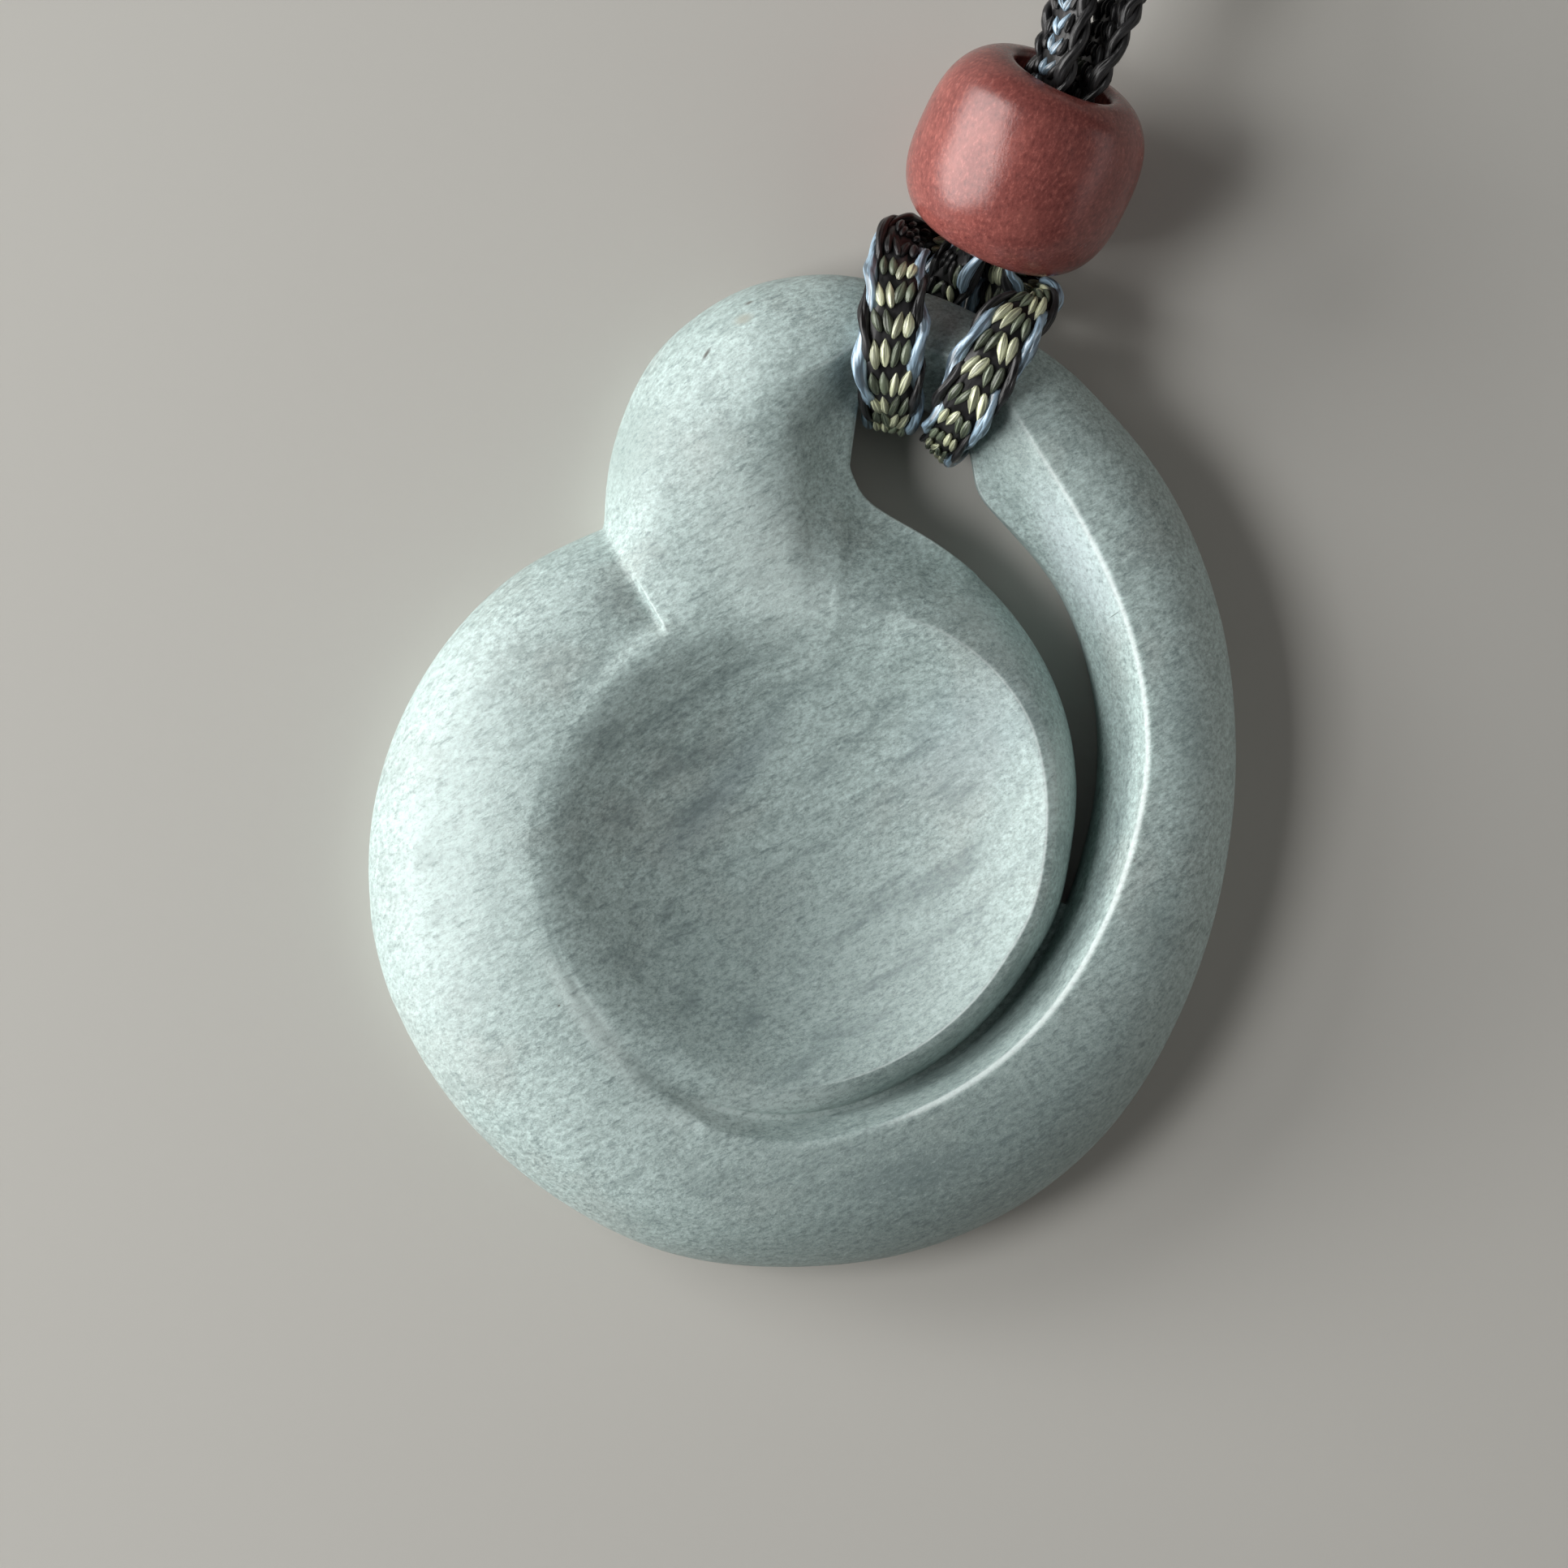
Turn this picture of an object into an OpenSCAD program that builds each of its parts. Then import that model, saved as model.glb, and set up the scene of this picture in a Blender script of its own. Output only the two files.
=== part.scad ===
// Jade pendant on a woven neck band, lying on its back on a flat surface.
// Millimetres, +Z up out of the pendant's front. The origin is on the flat back,
// under the middle of the dish. Angles are degrees counter-clockwise from +X.

/* [Jade] */
// Height of the dish's lowest point above the back
dish_floor = 3.6; // [3.5:0.1:5]
// Height at which the outer edge turns over to the back
edge_height = 3.2; // [2.5:0.1:4]
// Width of the rounding on the front, from the outer edge inwards
edge_round = 3; // [2:0.1:4.5]
// Width of the rounding on the back
back_round = 2.6; // [1.5:0.1:3]
// Clear height under the bar that the band is hitched to
bar_lift = 2.3; // [2.2:0.1:2.6]

/* [Bead] */
// Largest diameter of the bead
bead_d = 11.8; // [11:0.1:12.5]
// Length of the bead along its hole
bead_l = 9.9; // [9:0.1:10.5]
// Diameter of the hole
bore_d = 5.4; // [5.3:0.1:6]
// Angle by which the bead's upper end is raised off the surface
bead_tilt = 22; // [18:1:25]

/* [Band] */
// Width of the woven band
band_w = 3.3; // [3:0.1:3.4]
// Thickness of the woven band
band_t = 1.4; // [1.2:0.1:1.5]
// Chamfer on the band's edges
band_edge = 0.35; // [0.2:0.05:0.5]

/* [Hidden] */

// Sections through the carving, on rays from the middle of the dish. Columns:
// angle, rim radius, rim height, groove inner radius, groove outer radius,
// groove depth, crest radius, crest height, outline radius, softness of the rim
SECTIONS = [
    [120.5, 12.9, 7.3, 13.4, 13.7, 0.0, 14.4, 6.55, 19.7, 1.0],
    [126, 12.9, 7.35, 13.4, 13.7, 0.0, 14.4, 6.9, 20.05, 1.0],
    [135, 13.0, 7.45, 13.4, 13.6, 0.0, 14.1, 7.25, 20.7, 1.0],
    [152, 13.1, 7.55, 13.3, 13.5, 0.0, 13.9, 7.55, 21.5, 1.0],
    [175, 13.2, 7.65, 13.4, 13.6, 0.0, 13.9, 7.7, 22.3, 1.0],
    [195, 13.1, 7.65, 13.3, 13.5, 0.0, 13.8, 7.7, 22.55, 1.0],
    [215, 12.9, 7.55, 13.3, 13.6, 0.1, 14.1, 7.7, 22.35, 0.9],
    [235, 12.6, 7.3, 13.6, 13.9, 0.2, 14.6, 7.65, 22.1, 0.8],
    [252, 12.4, 7.1, 13.7, 14.0, 0.85, 14.9, 7.6, 22.1, 0.6],
    [270, 12.2, 7.0, 13.6, 13.9, 1.5, 15.0, 7.6, 21.8, 0.4],
    [288, 12.0, 6.95, 13.3, 13.6, 2.0, 14.7, 7.6, 21.9, 0.25],
    [304, 11.9, 7.0, 13.2, 13.5, 3.0, 14.8, 7.6, 22.0, 0.1],
    [320, 12.0, 7.1, 13.3, 13.7, 3.7, 15.2, 7.6, 22.0, 0.0],
    [334, 12.2, 7.15, 13.6, 14.0, 4.4, 15.7, 7.6, 21.9, 0.0],
    [346, 12.6, 7.15, 14.1, 14.4, 5.0, 16.3, 7.6, 22.1, 0.0],
    [360, 12.9, 7.05, 14.5, 15.2, 5.2, 17.3, 7.6, 22.7, 0.0],
    [375, 13.4, 7.0, 15.3, 16.5, 5.0, 18.8, 7.6, 23.9, 0.0],
    [390, 13.9, 7.05, 16.1, 18.0, 4.6, 20.3, 7.6, 25.6, 0.1],
    [405, 13.9, 7.1, 16.8, 19.5, 4.2, 22.0, 7.5, 27.4, 0.25],
    [416, 13.7, 7.2, 17.3, 20.3, 3.7, 23.7, 7.4, 28.5, 0.6],
    [421.5, 13.5, 7.2, 17.55, 20.8, 3.4, 24.9, 7.3, 29.0, 0.9],
    [424, 13.4, 7.2, 17.65, 21.4, 3.2, 25.6, 7.3, 29.2, 1.0],
    [426, 13.35, 7.2, 17.75, 22.7, 3.1, 26.1, 7.3, 29.3, 1.0],
    [428, 13.3, 7.2, 17.85, 23.5, 3.1, 26.4, 7.3, 29.4, 1.0],
    [430, 13.2, 7.25, 17.95, 23.9, 3.1, 26.7, 7.3, 29.5, 1.0],
    [434, 13.1, 7.3, 18.2, 24.1, 3.1, 26.9, 7.3, 29.8, 1.0],
    [438, 13.0, 7.35, 18.65, 24.2, 3.0, 27.0, 7.4, 30.0, 1.0],
    [440, 12.95, 7.4, 19.1, 24.15, 2.95, 26.9, 7.5, 30.05, 1.0],
    [442, 12.9, 7.4, 20.3, 23.9, 2.8, 26.8, 7.6, 30.1, 1.0],
    [446, 12.9, 7.4, 20.4, 22.8, 2.0, 25.4, 7.95, 30.2, 1.0],
    [450, 12.9, 7.4, 20.2, 21.4, 0.5, 24.4, 8.15, 30.1, 1.0],
    [454, 12.9, 7.4, 18.8, 20.4, 0.1, 23.6, 8.15, 29.8, 1.0],
    [459, 12.9, 7.4, 17.6, 18.6, 0.0, 21.6, 7.95, 28.9, 1.0],
    [466, 12.9, 7.35, 15.8, 16.8, 0.0, 19.4, 7.55, 27.0, 1.0],
    [473, 12.9, 7.35, 14.8, 15.6, 0.0, 17.4, 7.15, 23.9, 1.0],
    [477, 12.9, 7.3, 14.2, 14.8, 0.0, 16.4, 6.95, 21.8, 1.0],
    [480.5, 12.9, 7.3, 13.6, 14.0, 0.0, 15.4, 6.85, 19.7, 1.0],
];
ANGLE = 0;
RIM_R = 1;
RIM_Z = 2;
GROOVE_IN = 3;
GROOVE_OUT = 4;
DIP = 5;
CREST_R = 6;
CREST_Z = 7;
OUTLINE = 8;
SOFT = 9;

// The seam of the spiral, where the head's end steps up from the body
seam = 120.5;
seam_width = 0.8;
// The groove is cut right through between these two angles
slot_start = 349;
slot_end = 442;
// How steeply the outer face drops from a soft crest, over what width that
// slope starts, and how much a soft and a crisp one curve down
outer_slope = 0.13;
crest_round = 1.2;
soft_curve = 0.02;
crisp_curve = 0.04;
// The underside is raised between these angles, and falls back over the ramp
lift_from = 421;
lift_to = 446;
lift_ramp = 7;
// It rises outwards from this radius, over this width
lift_inner_r = 18;
lift_width = 4;
// Share of that rise that the outer edge takes part in
edge_lift = 0.6;
// How hollow or full the groove's crisp outer face is, 1 for a straight one
bevel_power = 0.85;
// How steeply the dish climbs to its rim
dish_power = 2.5;
// How far in a soft rim rolls over, and how wide the rounding of a crisp and
// of a soft rim is, as shares of the rim's radius and height
rim_roll = 0.07;
crisp_rim = 0.02;
soft_rim = 0.16;
// The innermost ring of points on the back
back_hub_r = 8;

// Rays on which the carving's skin has its points, closer where it turns fast
seam_first = seam + seam_width / 2;
seam_last = seam + 360 - seam_width / 2;
slot_turn = 416;
function spread(a, b, n) = [for (i = [0:n - 1]) a + i * (b - a) / n];
rays = concat(
    spread(seam_first, slot_start, 59),
    spread(slot_start, slot_turn, 28),
    spread(slot_turn, slot_end, 13),
    spread(slot_end, seam_last, 21),
    [seam_last]
);

// Places of the rings within each zone of the front, from 0 to 1
dish_steps = [0.2, 0.4, 0.56, 0.7, 0.8, 0.88, 0.95, 1];
wall_steps = [0.3, 0.55, 0.78, 0.93, 1];
bevel_steps = [0, 0.07, 0.25, 0.6, 1];
outer_steps = [0.22, 0.42, 0.6, 0.74, 0.85, 0.93, 0.98, 1];
back_steps = [25, 50, 70, 90];

first_groove_ring = len(dish_steps) + len(wall_steps) - 1;
last_groove_ring = first_groove_ring + 1;

// The bead lies on the surface, with its axis heading this way
bead_xy = [11.9, 35.9];
bead_heading = 64.5;
bore_round = 0.4;
// How full the bead's barrel is in its middle and at its ends
barrel_middle = 2.8;
barrel_end = 0.55;
// The two parts of the band inside the bead lie this far from its axis, and
// keep straight up to this place along it. They are turned about the axis, so
// that the left one lies higher and shows its face
bead_side = 0.85;
bead_straight = 2.5;
bead_turn = 35;
axis_dir = [
    cos(bead_heading) * cos(bead_tilt),
    sin(bead_heading) * cos(bead_tilt),
    sin(bead_tilt)
];
side_dir = [sin(bead_heading), -cos(bead_heading), 0];
up_dir = cross(side_dir, axis_dir);
pair_dir = side_dir * cos(bead_turn) - up_dir * sin(bead_turn);
width_dir = side_dir * sin(bead_turn) + up_dir * cos(bead_turn);
bead_profile = bead_outline();
bead_z = max([for (p = bead_profile) p[0] * cos(bead_tilt) - p[1] * sin(bead_tilt)]);
bead_centre = [bead_xy[0], bead_xy[1], bead_z];

// The band's section, with its edges chamfered
band_section = [
    [-band_w / 2, -band_t / 2 + band_edge],
    [-band_w / 2 + band_edge, -band_t / 2],
    [band_w / 2 - band_edge, -band_t / 2],
    [band_w / 2, -band_t / 2 + band_edge],
    [band_w / 2, band_t / 2 - band_edge],
    [band_w / 2 - band_edge, band_t / 2],
    [-band_w / 2 + band_edge, band_t / 2],
    [-band_w / 2, band_t / 2 - band_edge]
];

// Route of the hitch: from the bead behind the bar, up through the slot, over
// the bar's front, behind both standing parts and back by the same way.
// Columns: x, y, z, the direction of the band's width in x, y and z, and the
// share of its full width that is left where a fold gathers it
HITCH = [
    [9.25, 31.7, 4.9, 0.4, -0.5, 0.76, 1],
    [8.4, 30.5, 4.3, 0.6, -0.5, 0.6, 0.93],
    [7.9, 29.75, 3.2, 0.8, -0.45, 0.35, 0.85],
    [7.25, 28.5, 1.75, 0.93, -0.37, 0.05, 0.88],
    [6.5, 26.4, 1, 0.93, -0.37, 0, 1],
    [5.75, 24.6, 0.95, 0.95, -0.3, 0, 0.95],
    [5.1, 22.95, 1.5, 0.96, -0.25, 0, 0.88],
    [5.0, 22.5, 3.8, 0.97, -0.22, 0, 0.9],
    [4.95, 23.3, 6.4, 0.98, -0.15, 0, 1.02],
    [4.85, 24.8, 8.05, 1, -0.05, 0, 1.12],
    [4.95, 26.6, 8.5, 1, 0, 0, 1.14],
    [5.1, 28.6, 8.15, 1, -0.05, 0, 1.08],
    [5.3, 30.4, 7, 1, -0.2, 0, 1],
    [5.5, 31.8, 5.6, 0.8, -0.6, 0, 0.9],
    [5.9, 32.1, 3.9, 0.3, -0.95, -0.1, 0.8],
    [6.5, 31.9, 2.2, -0.1, -0.97, -0.1, 0.85],
    [7.9, 31.4, 1.05, -0.3, -0.95, 0, 0.95],
    [9.7, 30.8, 0.8, -0.38, -0.92, 0, 0.95],
    [11.3, 30.1, 0.8, -0.42, -0.9, 0, 0.8],
    [12.7, 29.35, 1.6, -0.45, -0.88, 0, 0.65],
    [13.0, 29.0, 3.4, -0.5, -0.85, 0.1, 0.65],
    [12.8, 28.65, 5.1, -0.8, -0.45, 0.35, 0.7],
    [12.1, 28.2, 7.0, -0.92, 0.2, 0.2, 0.9],
    [10.9, 26.9, 8.2, -0.9, 0.43, 0, 1.08],
    [9.75, 24.9, 8.3, -0.91, 0.42, 0, 1.12],
    [8.7, 23, 7.6, -0.88, 0.47, 0, 1.05],
    [7.9, 21.7, 5.8, -0.8, 0.6, 0, 0.85],
    [7.6, 21.2, 3.6, -0.72, 0.7, 0, 0.73],
    [7.95, 21.5, 1.5, -0.8, 0.6, 0, 0.74],
    [8.95, 23.1, 0.95, -0.9, 0.44, 0, 0.9],
    [9.6, 24.9, 0.95, -0.93, 0.37, 0, 1],
    [10.1, 26.7, 1.1, -0.93, 0.35, 0, 1],
    [10.35, 27.9, 1.9, -0.88, 0.4, -0.1, 0.9],
    [10.5, 28.9, 2.8, -0.8, 0.45, -0.3, 0.86],
    [10.6, 29.8, 3.35, -0.65, 0.5, -0.5, 0.9],
    [10.55, 31, 3.95, -0.45, 0.52, -0.7, 1],
];

// Route of the neck loop: out of the bead's raised end, down to the surface and
// the plain way round, standing on its edge. Columns as above
NECK = [
    [13.4, 40.9, 8.9, 0.5, -0.4, 0.75, 1],
    [14.35, 44.3, 8.7, 0.6, -0.2, 0.75, 1],
    [16, 50, 6.4, 0.3, 0, 0.95, 1],
    [17.5, 57.5, 3.4, 0, 0, 1, 1],
    [18.5, 68, 1.9, 0, 0, 1, 1],
    [19, 88, 1.75, 0, 0, 1, 1],
    [19, 116, 1.75, 0, 0, 1, 1],
    [23, 149, 1.75, 0, 0, 1, 1],
    [34, 183, 1.75, 0, 0, 1, 1],
    [54, 213, 1.75, 0, 0, 1, 1],
    [83, 235, 1.75, 0, 0, 1, 1],
    [117, 244, 1.75, 0, 0, 1, 1],
    [150, 237, 1.75, 0, 0, 1, 1],
    [174, 215, 1.75, 0, 0, 1, 1],
    [184, 184, 1.75, 0, 0, 1, 1],
    [179, 151, 1.75, 0, 0, 1, 1],
    [160, 122, 1.75, 0, 0, 1, 1],
    [132, 100, 1.75, 0, 0, 1, 1],
    [101, 85, 1.75, 0, 0, 1, 1],
    [69, 74, 1.75, 0, 0, 1, 1],
    [44, 66, 1.9, 0, 0, 1, 1],
    [29, 57.5, 3.2, 0, 0, 1, 1],
    [20.6, 49.5, 6.2, 0.2, 0, 1, 1],
    [17.0, 44.0, 8.0, 0.5, -0.2, 0.85, 1],
    [15.25, 40.55, 7.9, 0.45, -0.45, 0.77, 1],
];
hitch_steps = 2;
neck_steps = 3;
joint_gap = 0.05;

// Basic functions

function unit(v) = v / norm(v);
function mix(a, b, t) = a + (b - a) * t;
function clamp(t) = max(0, min(1, t));
function smooth(t) = clamp(t) * clamp(t) * (3 - 2 * clamp(t));

// Row of a table at or below x
function row_at(table, x) =
    max([for (i = [0:len(table) - 2]) if (x >= table[i][0] || i == 0) i]);

// Slope of a table's column at row i
function slope_at(table, col, i) =
    let (a = max(0, i - 1), b = min(len(table) - 1, i + 1))
    (table[b][col] - table[a][col]) / (table[b][0] - table[a][0]);

// A smooth curve through one column of a table
function column_at(table, col, x) =
    let (
        i = row_at(table, x),
        h = table[i + 1][0] - table[i][0],
        t = clamp((x - table[i][0]) / h),
        p = table[i][col],
        q = table[i + 1][col],
        u = slope_at(table, col, i) * h,
        v = slope_at(table, col, i + 1) * h
    )
    p + u * t + (3 * (q - p) - 2 * u - v) * t * t + (2 * (p - q) + u + v) * t * t * t;

// Jade carving

function section_at(a) = [for (col = [ANGLE:SOFT]) col == ANGLE ? a : column_at(SECTIONS, col, a)];

// How far the section is turned from square to the outline, as a cosine
function squareness(a) =
    let (
        r = column_at(SECTIONS, OUTLINE, a),
        span = 1,
        rise = (column_at(SECTIONS, OUTLINE, min(seam + 360, a + span))
            - column_at(SECTIONS, OUTLINE, max(seam, a - span))) / (2 * span) * 180 / PI
    )
    r / norm([r, rise]);

// The lesser of two values, with the change from one to the other rounded
function soft_min(a, b, k) =
    let (h = clamp(0.5 + 0.5 * (b - a) / k))
    mix(b, a, h) - k * h * (1 - h);

// The dish's height from 0 in the middle to 1 at the rim, crisp or rolled over
function dish_rise(s, t) =
    soft_min(pow(t / (1 - rim_roll * s[SOFT]), dish_power), 1, crisp_rim + soft_rim * s[SOFT]);

function body_height(s, r) =
    r < s[RIM_R] ? mix(dish_floor, s[RIM_Z], dish_rise(s, r / s[RIM_R]))
    : r < s[CREST_R] ? mix(s[RIM_Z], s[CREST_Z], smooth((r - s[RIM_R]) / (s[CREST_R] - s[RIM_R])))
    : let (out = r - s[CREST_R])
        s[CREST_Z]
        - outer_slope * s[SOFT] * (sqrt(out * out + crest_round * crest_round) - crest_round)
        - mix(crisp_curve, soft_curve, s[SOFT]) * out * out;

// How much of its full depth the groove has, with crisp or soft sides
function groove_share(s, r) =
    r <= s[RIM_R] || r >= s[CREST_R] ? 0
    : r < s[GROOVE_IN] ?
        let (t = (r - s[RIM_R]) / (s[GROOVE_IN] - s[RIM_R]))
        mix(1 - sqrt(1 - t * t), smooth(t), s[SOFT])
    : r <= s[GROOVE_OUT] ? 1
    :
        let (t = (r - s[GROOVE_OUT]) / (s[CREST_R] - s[GROOVE_OUT]))
        1 - mix(pow(t, bevel_power), smooth(t), s[SOFT]);

function edge_z(s) = edge_height + edge_lift * back_height(s, s[OUTLINE]);

// The share of full height left by the rounding at the outer edge
function edge_share(s, r, square) =
    let (t = clamp((s[OUTLINE] - r) * square / edge_round))
    sqrt(1 - (1 - t) * (1 - t));

function front_height(s, r, square) =
    edge_z(s) + (body_height(s, r) - s[DIP] * groove_share(s, r) - edge_z(s)) * edge_share(s, r, square);

// The back is flat, and raised under the bar
function back_height(s, r) =
    bar_lift
    * smooth((s[ANGLE] - lift_from + lift_ramp) / lift_ramp)
    * smooth((lift_to + lift_ramp - s[ANGLE]) / lift_ramp)
    * smooth((r - lift_inner_r) / lift_width);

function front_radii(s) = concat(
    [for (t = dish_steps) t * s[RIM_R]],
    [for (t = wall_steps) mix(s[RIM_R], s[GROOVE_IN], t)],
    [for (t = bevel_steps) mix(s[GROOVE_OUT], s[CREST_R], t)],
    [for (t = outer_steps) mix(s[CREST_R], s[OUTLINE], t)]
);

function on_ray(a, r, z) = [r * cos(a), r * sin(a), z];

// One ray's points: the front from the middle out, then the back to the middle
function ray_points(a) =
    let (s = section_at(a), square = squareness(a))
    concat(
        [for (r = front_radii(s)) on_ray(a, r, front_height(s, r, square))],
        [for (f = back_steps)
            let (r = s[OUTLINE] - back_round * square * (1 - cos(f)))
            on_ray(a, r, mix(edge_z(s), back_height(s, r), sin(f)))],
        [for (r = [s[GROOVE_OUT], s[GROOVE_IN], back_hub_r]) on_ray(a, r, back_height(s, r))]
    );

module jade_carving() {
    skin = [for (a = rays) ray_points(a)];
    columns = len(rays);
    rings = len(skin[0]);
    back_out = rings - 3;
    back_in = rings - 2;
    front_centre = columns * rings;
    back_centre = front_centre + 1;
    points = concat([for (ray = skin) each ray], [[0, 0, dish_floor], [0, 0, 0]]);
    function at(c, k) = (c % columns) * rings + k;
    function in_slot(c) = rays[c] >= slot_start && rays[c] < slot_end;
    function quad(c, j, k) = [[at(c, j), at(c, k), at(c + 1, k)], [at(c, j), at(c + 1, k), at(c + 1, j)]];
    function end_wall(c, turned) =
        let (
            a = at(c, first_groove_ring),
            b = at(c, last_groove_ring),
            d = at(c, back_out),
            e = at(c, back_in)
        )
        turned ? [[a, b, d], [a, d, e]] : [[a, d, b], [a, e, d]];
    slot_columns = [for (c = [0:columns - 1]) if (in_slot(c)) c];
    triangles = concat(
        [for (c = [0:columns - 1], k = [0:rings - 2])
            if (!(in_slot(c) && (k == first_groove_ring || k == back_out)))
                each quad(c, k, k + 1)],
        [for (c = slot_columns)
            each concat(quad(c, first_groove_ring, back_in), quad(c, back_out, last_groove_ring))],
        end_wall(slot_columns[0], true),
        end_wall(slot_columns[len(slot_columns) - 1] + 1, false),
        [for (c = [0:columns - 1]) [front_centre, at(c, 0), at(c + 1, 0)]],
        [for (c = [0:columns - 1]) [back_centre, at(c + 1, rings - 1), at(c, rings - 1)]]
    );
    color([0.66, 0.74, 0.72])
        polyhedron(points = points, faces = [for (f = triangles) [f[2], f[1], f[0]]]);
}

// Red bead

// The bead's section, as [radius, place along the axis], round the wall
function bead_outline() =
    let (h = bead_l / 2, b = bore_d / 2, lip = b + bore_round)
    concat(
        [for (f = [0:30:90]) [b + bore_round * (1 - cos(f)), -h + bore_round * (1 - sin(f))]],
        [for (f = [-84:7:84])
            let (t = sin(f))
            [lip + (bead_d / 2 - lip) * pow(1 - pow(abs(t), barrel_middle), barrel_end), t * h]],
        [for (f = [90:-30:0]) [b + bore_round * (1 - cos(f)), h - bore_round * (1 - sin(f))]]
    );

module red_bead() {
    color([0.62, 0.27, 0.24])
        translate(bead_centre)
            rotate([0, 90 - bead_tilt, bead_heading])
                rotate_extrude($fn = 96)
                    polygon(bead_profile);
}

// Woven band

function route_row(route, i) = route[max(0, min(len(route) - 1, i))];

// A smooth curve through the route's rows, i rows and a share t of the next
function route_at(route, i, t) =
    let (
        a = route_row(route, i - 1),
        b = route_row(route, i),
        c = route_row(route, i + 1),
        d = route_row(route, i + 2)
    )
    0.5 * (2 * b + (c - a) * t + (2 * a - 5 * b + 4 * c - d) * t * t + (3 * b - a - 3 * c + d) * t * t * t);

function fine_route(route, steps) = concat(
    [for (i = [0:len(route) - 2], k = [0:steps - 1]) route_at(route, i, k / steps)],
    [route[len(route) - 1]]
);

function place(row) = [row[0], row[1], row[2]];

// The band's section set square to the route at one of its rows
function ring_at(rows, i) =
    let (
        along = unit(place(rows[min(len(rows) - 1, i + 1)]) - place(rows[max(0, i - 1)])),
        wish = [rows[i][3], rows[i][4], rows[i][5]],
        across = unit(wish - along * (wish * along)),
        through = cross(along, across)
    )
    [for (p = band_section) place(rows[i]) + across * p[0] * rows[i][6] + through * p[1]];

module woven_band(route, steps) {
    rows = fine_route(route, steps);
    sides = len(band_section);
    last = len(rows) - 1;
    color([0.25, 0.29, 0.33])
        polyhedron(
            points = [for (i = [0:last]) each ring_at(rows, i)],
            faces = concat(
                [[for (j = [0:sides - 1]) j]],
                [for (i = [0:last - 1], j = [0:sides - 1])
                    let (k = (j + 1) % sides)
                    each [
                        [i * sides + j, (i + 1) * sides + j, (i + 1) * sides + k],
                        [i * sides + j, (i + 1) * sides + k, i * sides + k]
                    ]],
                [[for (j = [sides - 1:-1:0]) last * sides + j]]
            )
        );
}

// A row inside the bead, to one side of its axis, at a place along it, with
// the band's width facing one way or the other
function bead_row(side, along, facing = 1) =
    concat(bead_centre + axis_dir * along + pair_dir * side, width_dir * facing, [1]);

module hitch_band() {
    woven_band(
        concat(
            [bead_row(-bead_side, -joint_gap), bead_row(-bead_side, -bead_straight)],
            HITCH,
            [bead_row(bead_side, -bead_straight, -1), bead_row(bead_side, -joint_gap, -1)]
        ),
        hitch_steps
    );
}

module neck_band() {
    woven_band(
        concat(
            [bead_row(-bead_side, joint_gap), bead_row(-bead_side, bead_straight)],
            NECK,
            [bead_row(bead_side, bead_straight), bead_row(bead_side, joint_gap)]
        ),
        neck_steps
    );
}

jade_carving();
red_bead();
hitch_band();
neck_band();
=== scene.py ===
"""Jade pendant on a woven neck band, lying on a pale surface.

Places and sizes are in metres, unless a name or a comment says millimetres. The origin is on
the carving's flat back, under the middle of its dish, with +Z up.
"""

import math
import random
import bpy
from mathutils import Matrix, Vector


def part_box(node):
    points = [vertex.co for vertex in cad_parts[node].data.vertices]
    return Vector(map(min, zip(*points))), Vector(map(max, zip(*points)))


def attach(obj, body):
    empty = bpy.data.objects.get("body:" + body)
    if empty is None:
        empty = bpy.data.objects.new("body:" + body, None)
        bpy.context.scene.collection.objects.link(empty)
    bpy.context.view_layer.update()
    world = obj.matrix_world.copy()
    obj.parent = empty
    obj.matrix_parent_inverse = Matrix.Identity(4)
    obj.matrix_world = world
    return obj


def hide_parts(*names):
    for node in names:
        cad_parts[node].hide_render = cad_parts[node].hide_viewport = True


bl_info = {
    "name": "Jade Pendant",
    "version": (1, 0, 0),
    "blender": (4, 5, 0),
    "location": "View3D > Sidebar > Pendant",
    "description": "Dresses a jade pendant, its red bead and its woven band",
    "category": "Add Mesh",
}

import bpy
import numpy as np
from bpy.props import FloatProperty, FloatVectorProperty, IntProperty, PointerProperty
from mathutils import Matrix, Vector

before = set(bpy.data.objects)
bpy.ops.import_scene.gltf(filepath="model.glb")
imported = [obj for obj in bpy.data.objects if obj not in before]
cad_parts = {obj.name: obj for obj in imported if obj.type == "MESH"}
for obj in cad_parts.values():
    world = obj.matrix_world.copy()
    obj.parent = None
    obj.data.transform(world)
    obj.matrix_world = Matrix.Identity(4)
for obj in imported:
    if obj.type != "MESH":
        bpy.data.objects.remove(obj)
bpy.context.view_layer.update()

MM = 0.001
BODY = "root"

# The photograph's side in millimetres, the point at its middle, and the height that is measured at
PHOTO_SIDE_MM = 81.34
PHOTO_MIDDLE_MM = (-0.59, 3.54)
PHOTO_LEVEL_MM = 6.0

# The camera's sensor in millimetres, the surface's side and how far it is under the pendant, and
# the height that the lights are aimed at
SENSOR_MM = 36
SURFACE_SIDE = 6
SURFACE_DROP = 0.00002
LIGHT_AIM = 0.01

# The bead: the heading and the rise of its axis, in degrees, and its section
BEAD_HEADING = 64.5
BEAD_RISE = 22
BEAD_D_MM = 11.65
BEAD_L_MM = 9.8
BORE_D_MM = 5.4
BORE_ROUND_MM = 0.4
BARREL_MIDDLE = 2.8
BARREL_END = 0.55

# The two parts of the band inside the bead: how far they are from its axis, how far they are
# turned about it, in degrees, and the places along it
BEAD_SIDE_MM = 0.85
BEAD_TURN = 35
BEAD_STRAIGHT_MM = 2.5
JOINT_GAP_MM = 0.05

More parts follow.
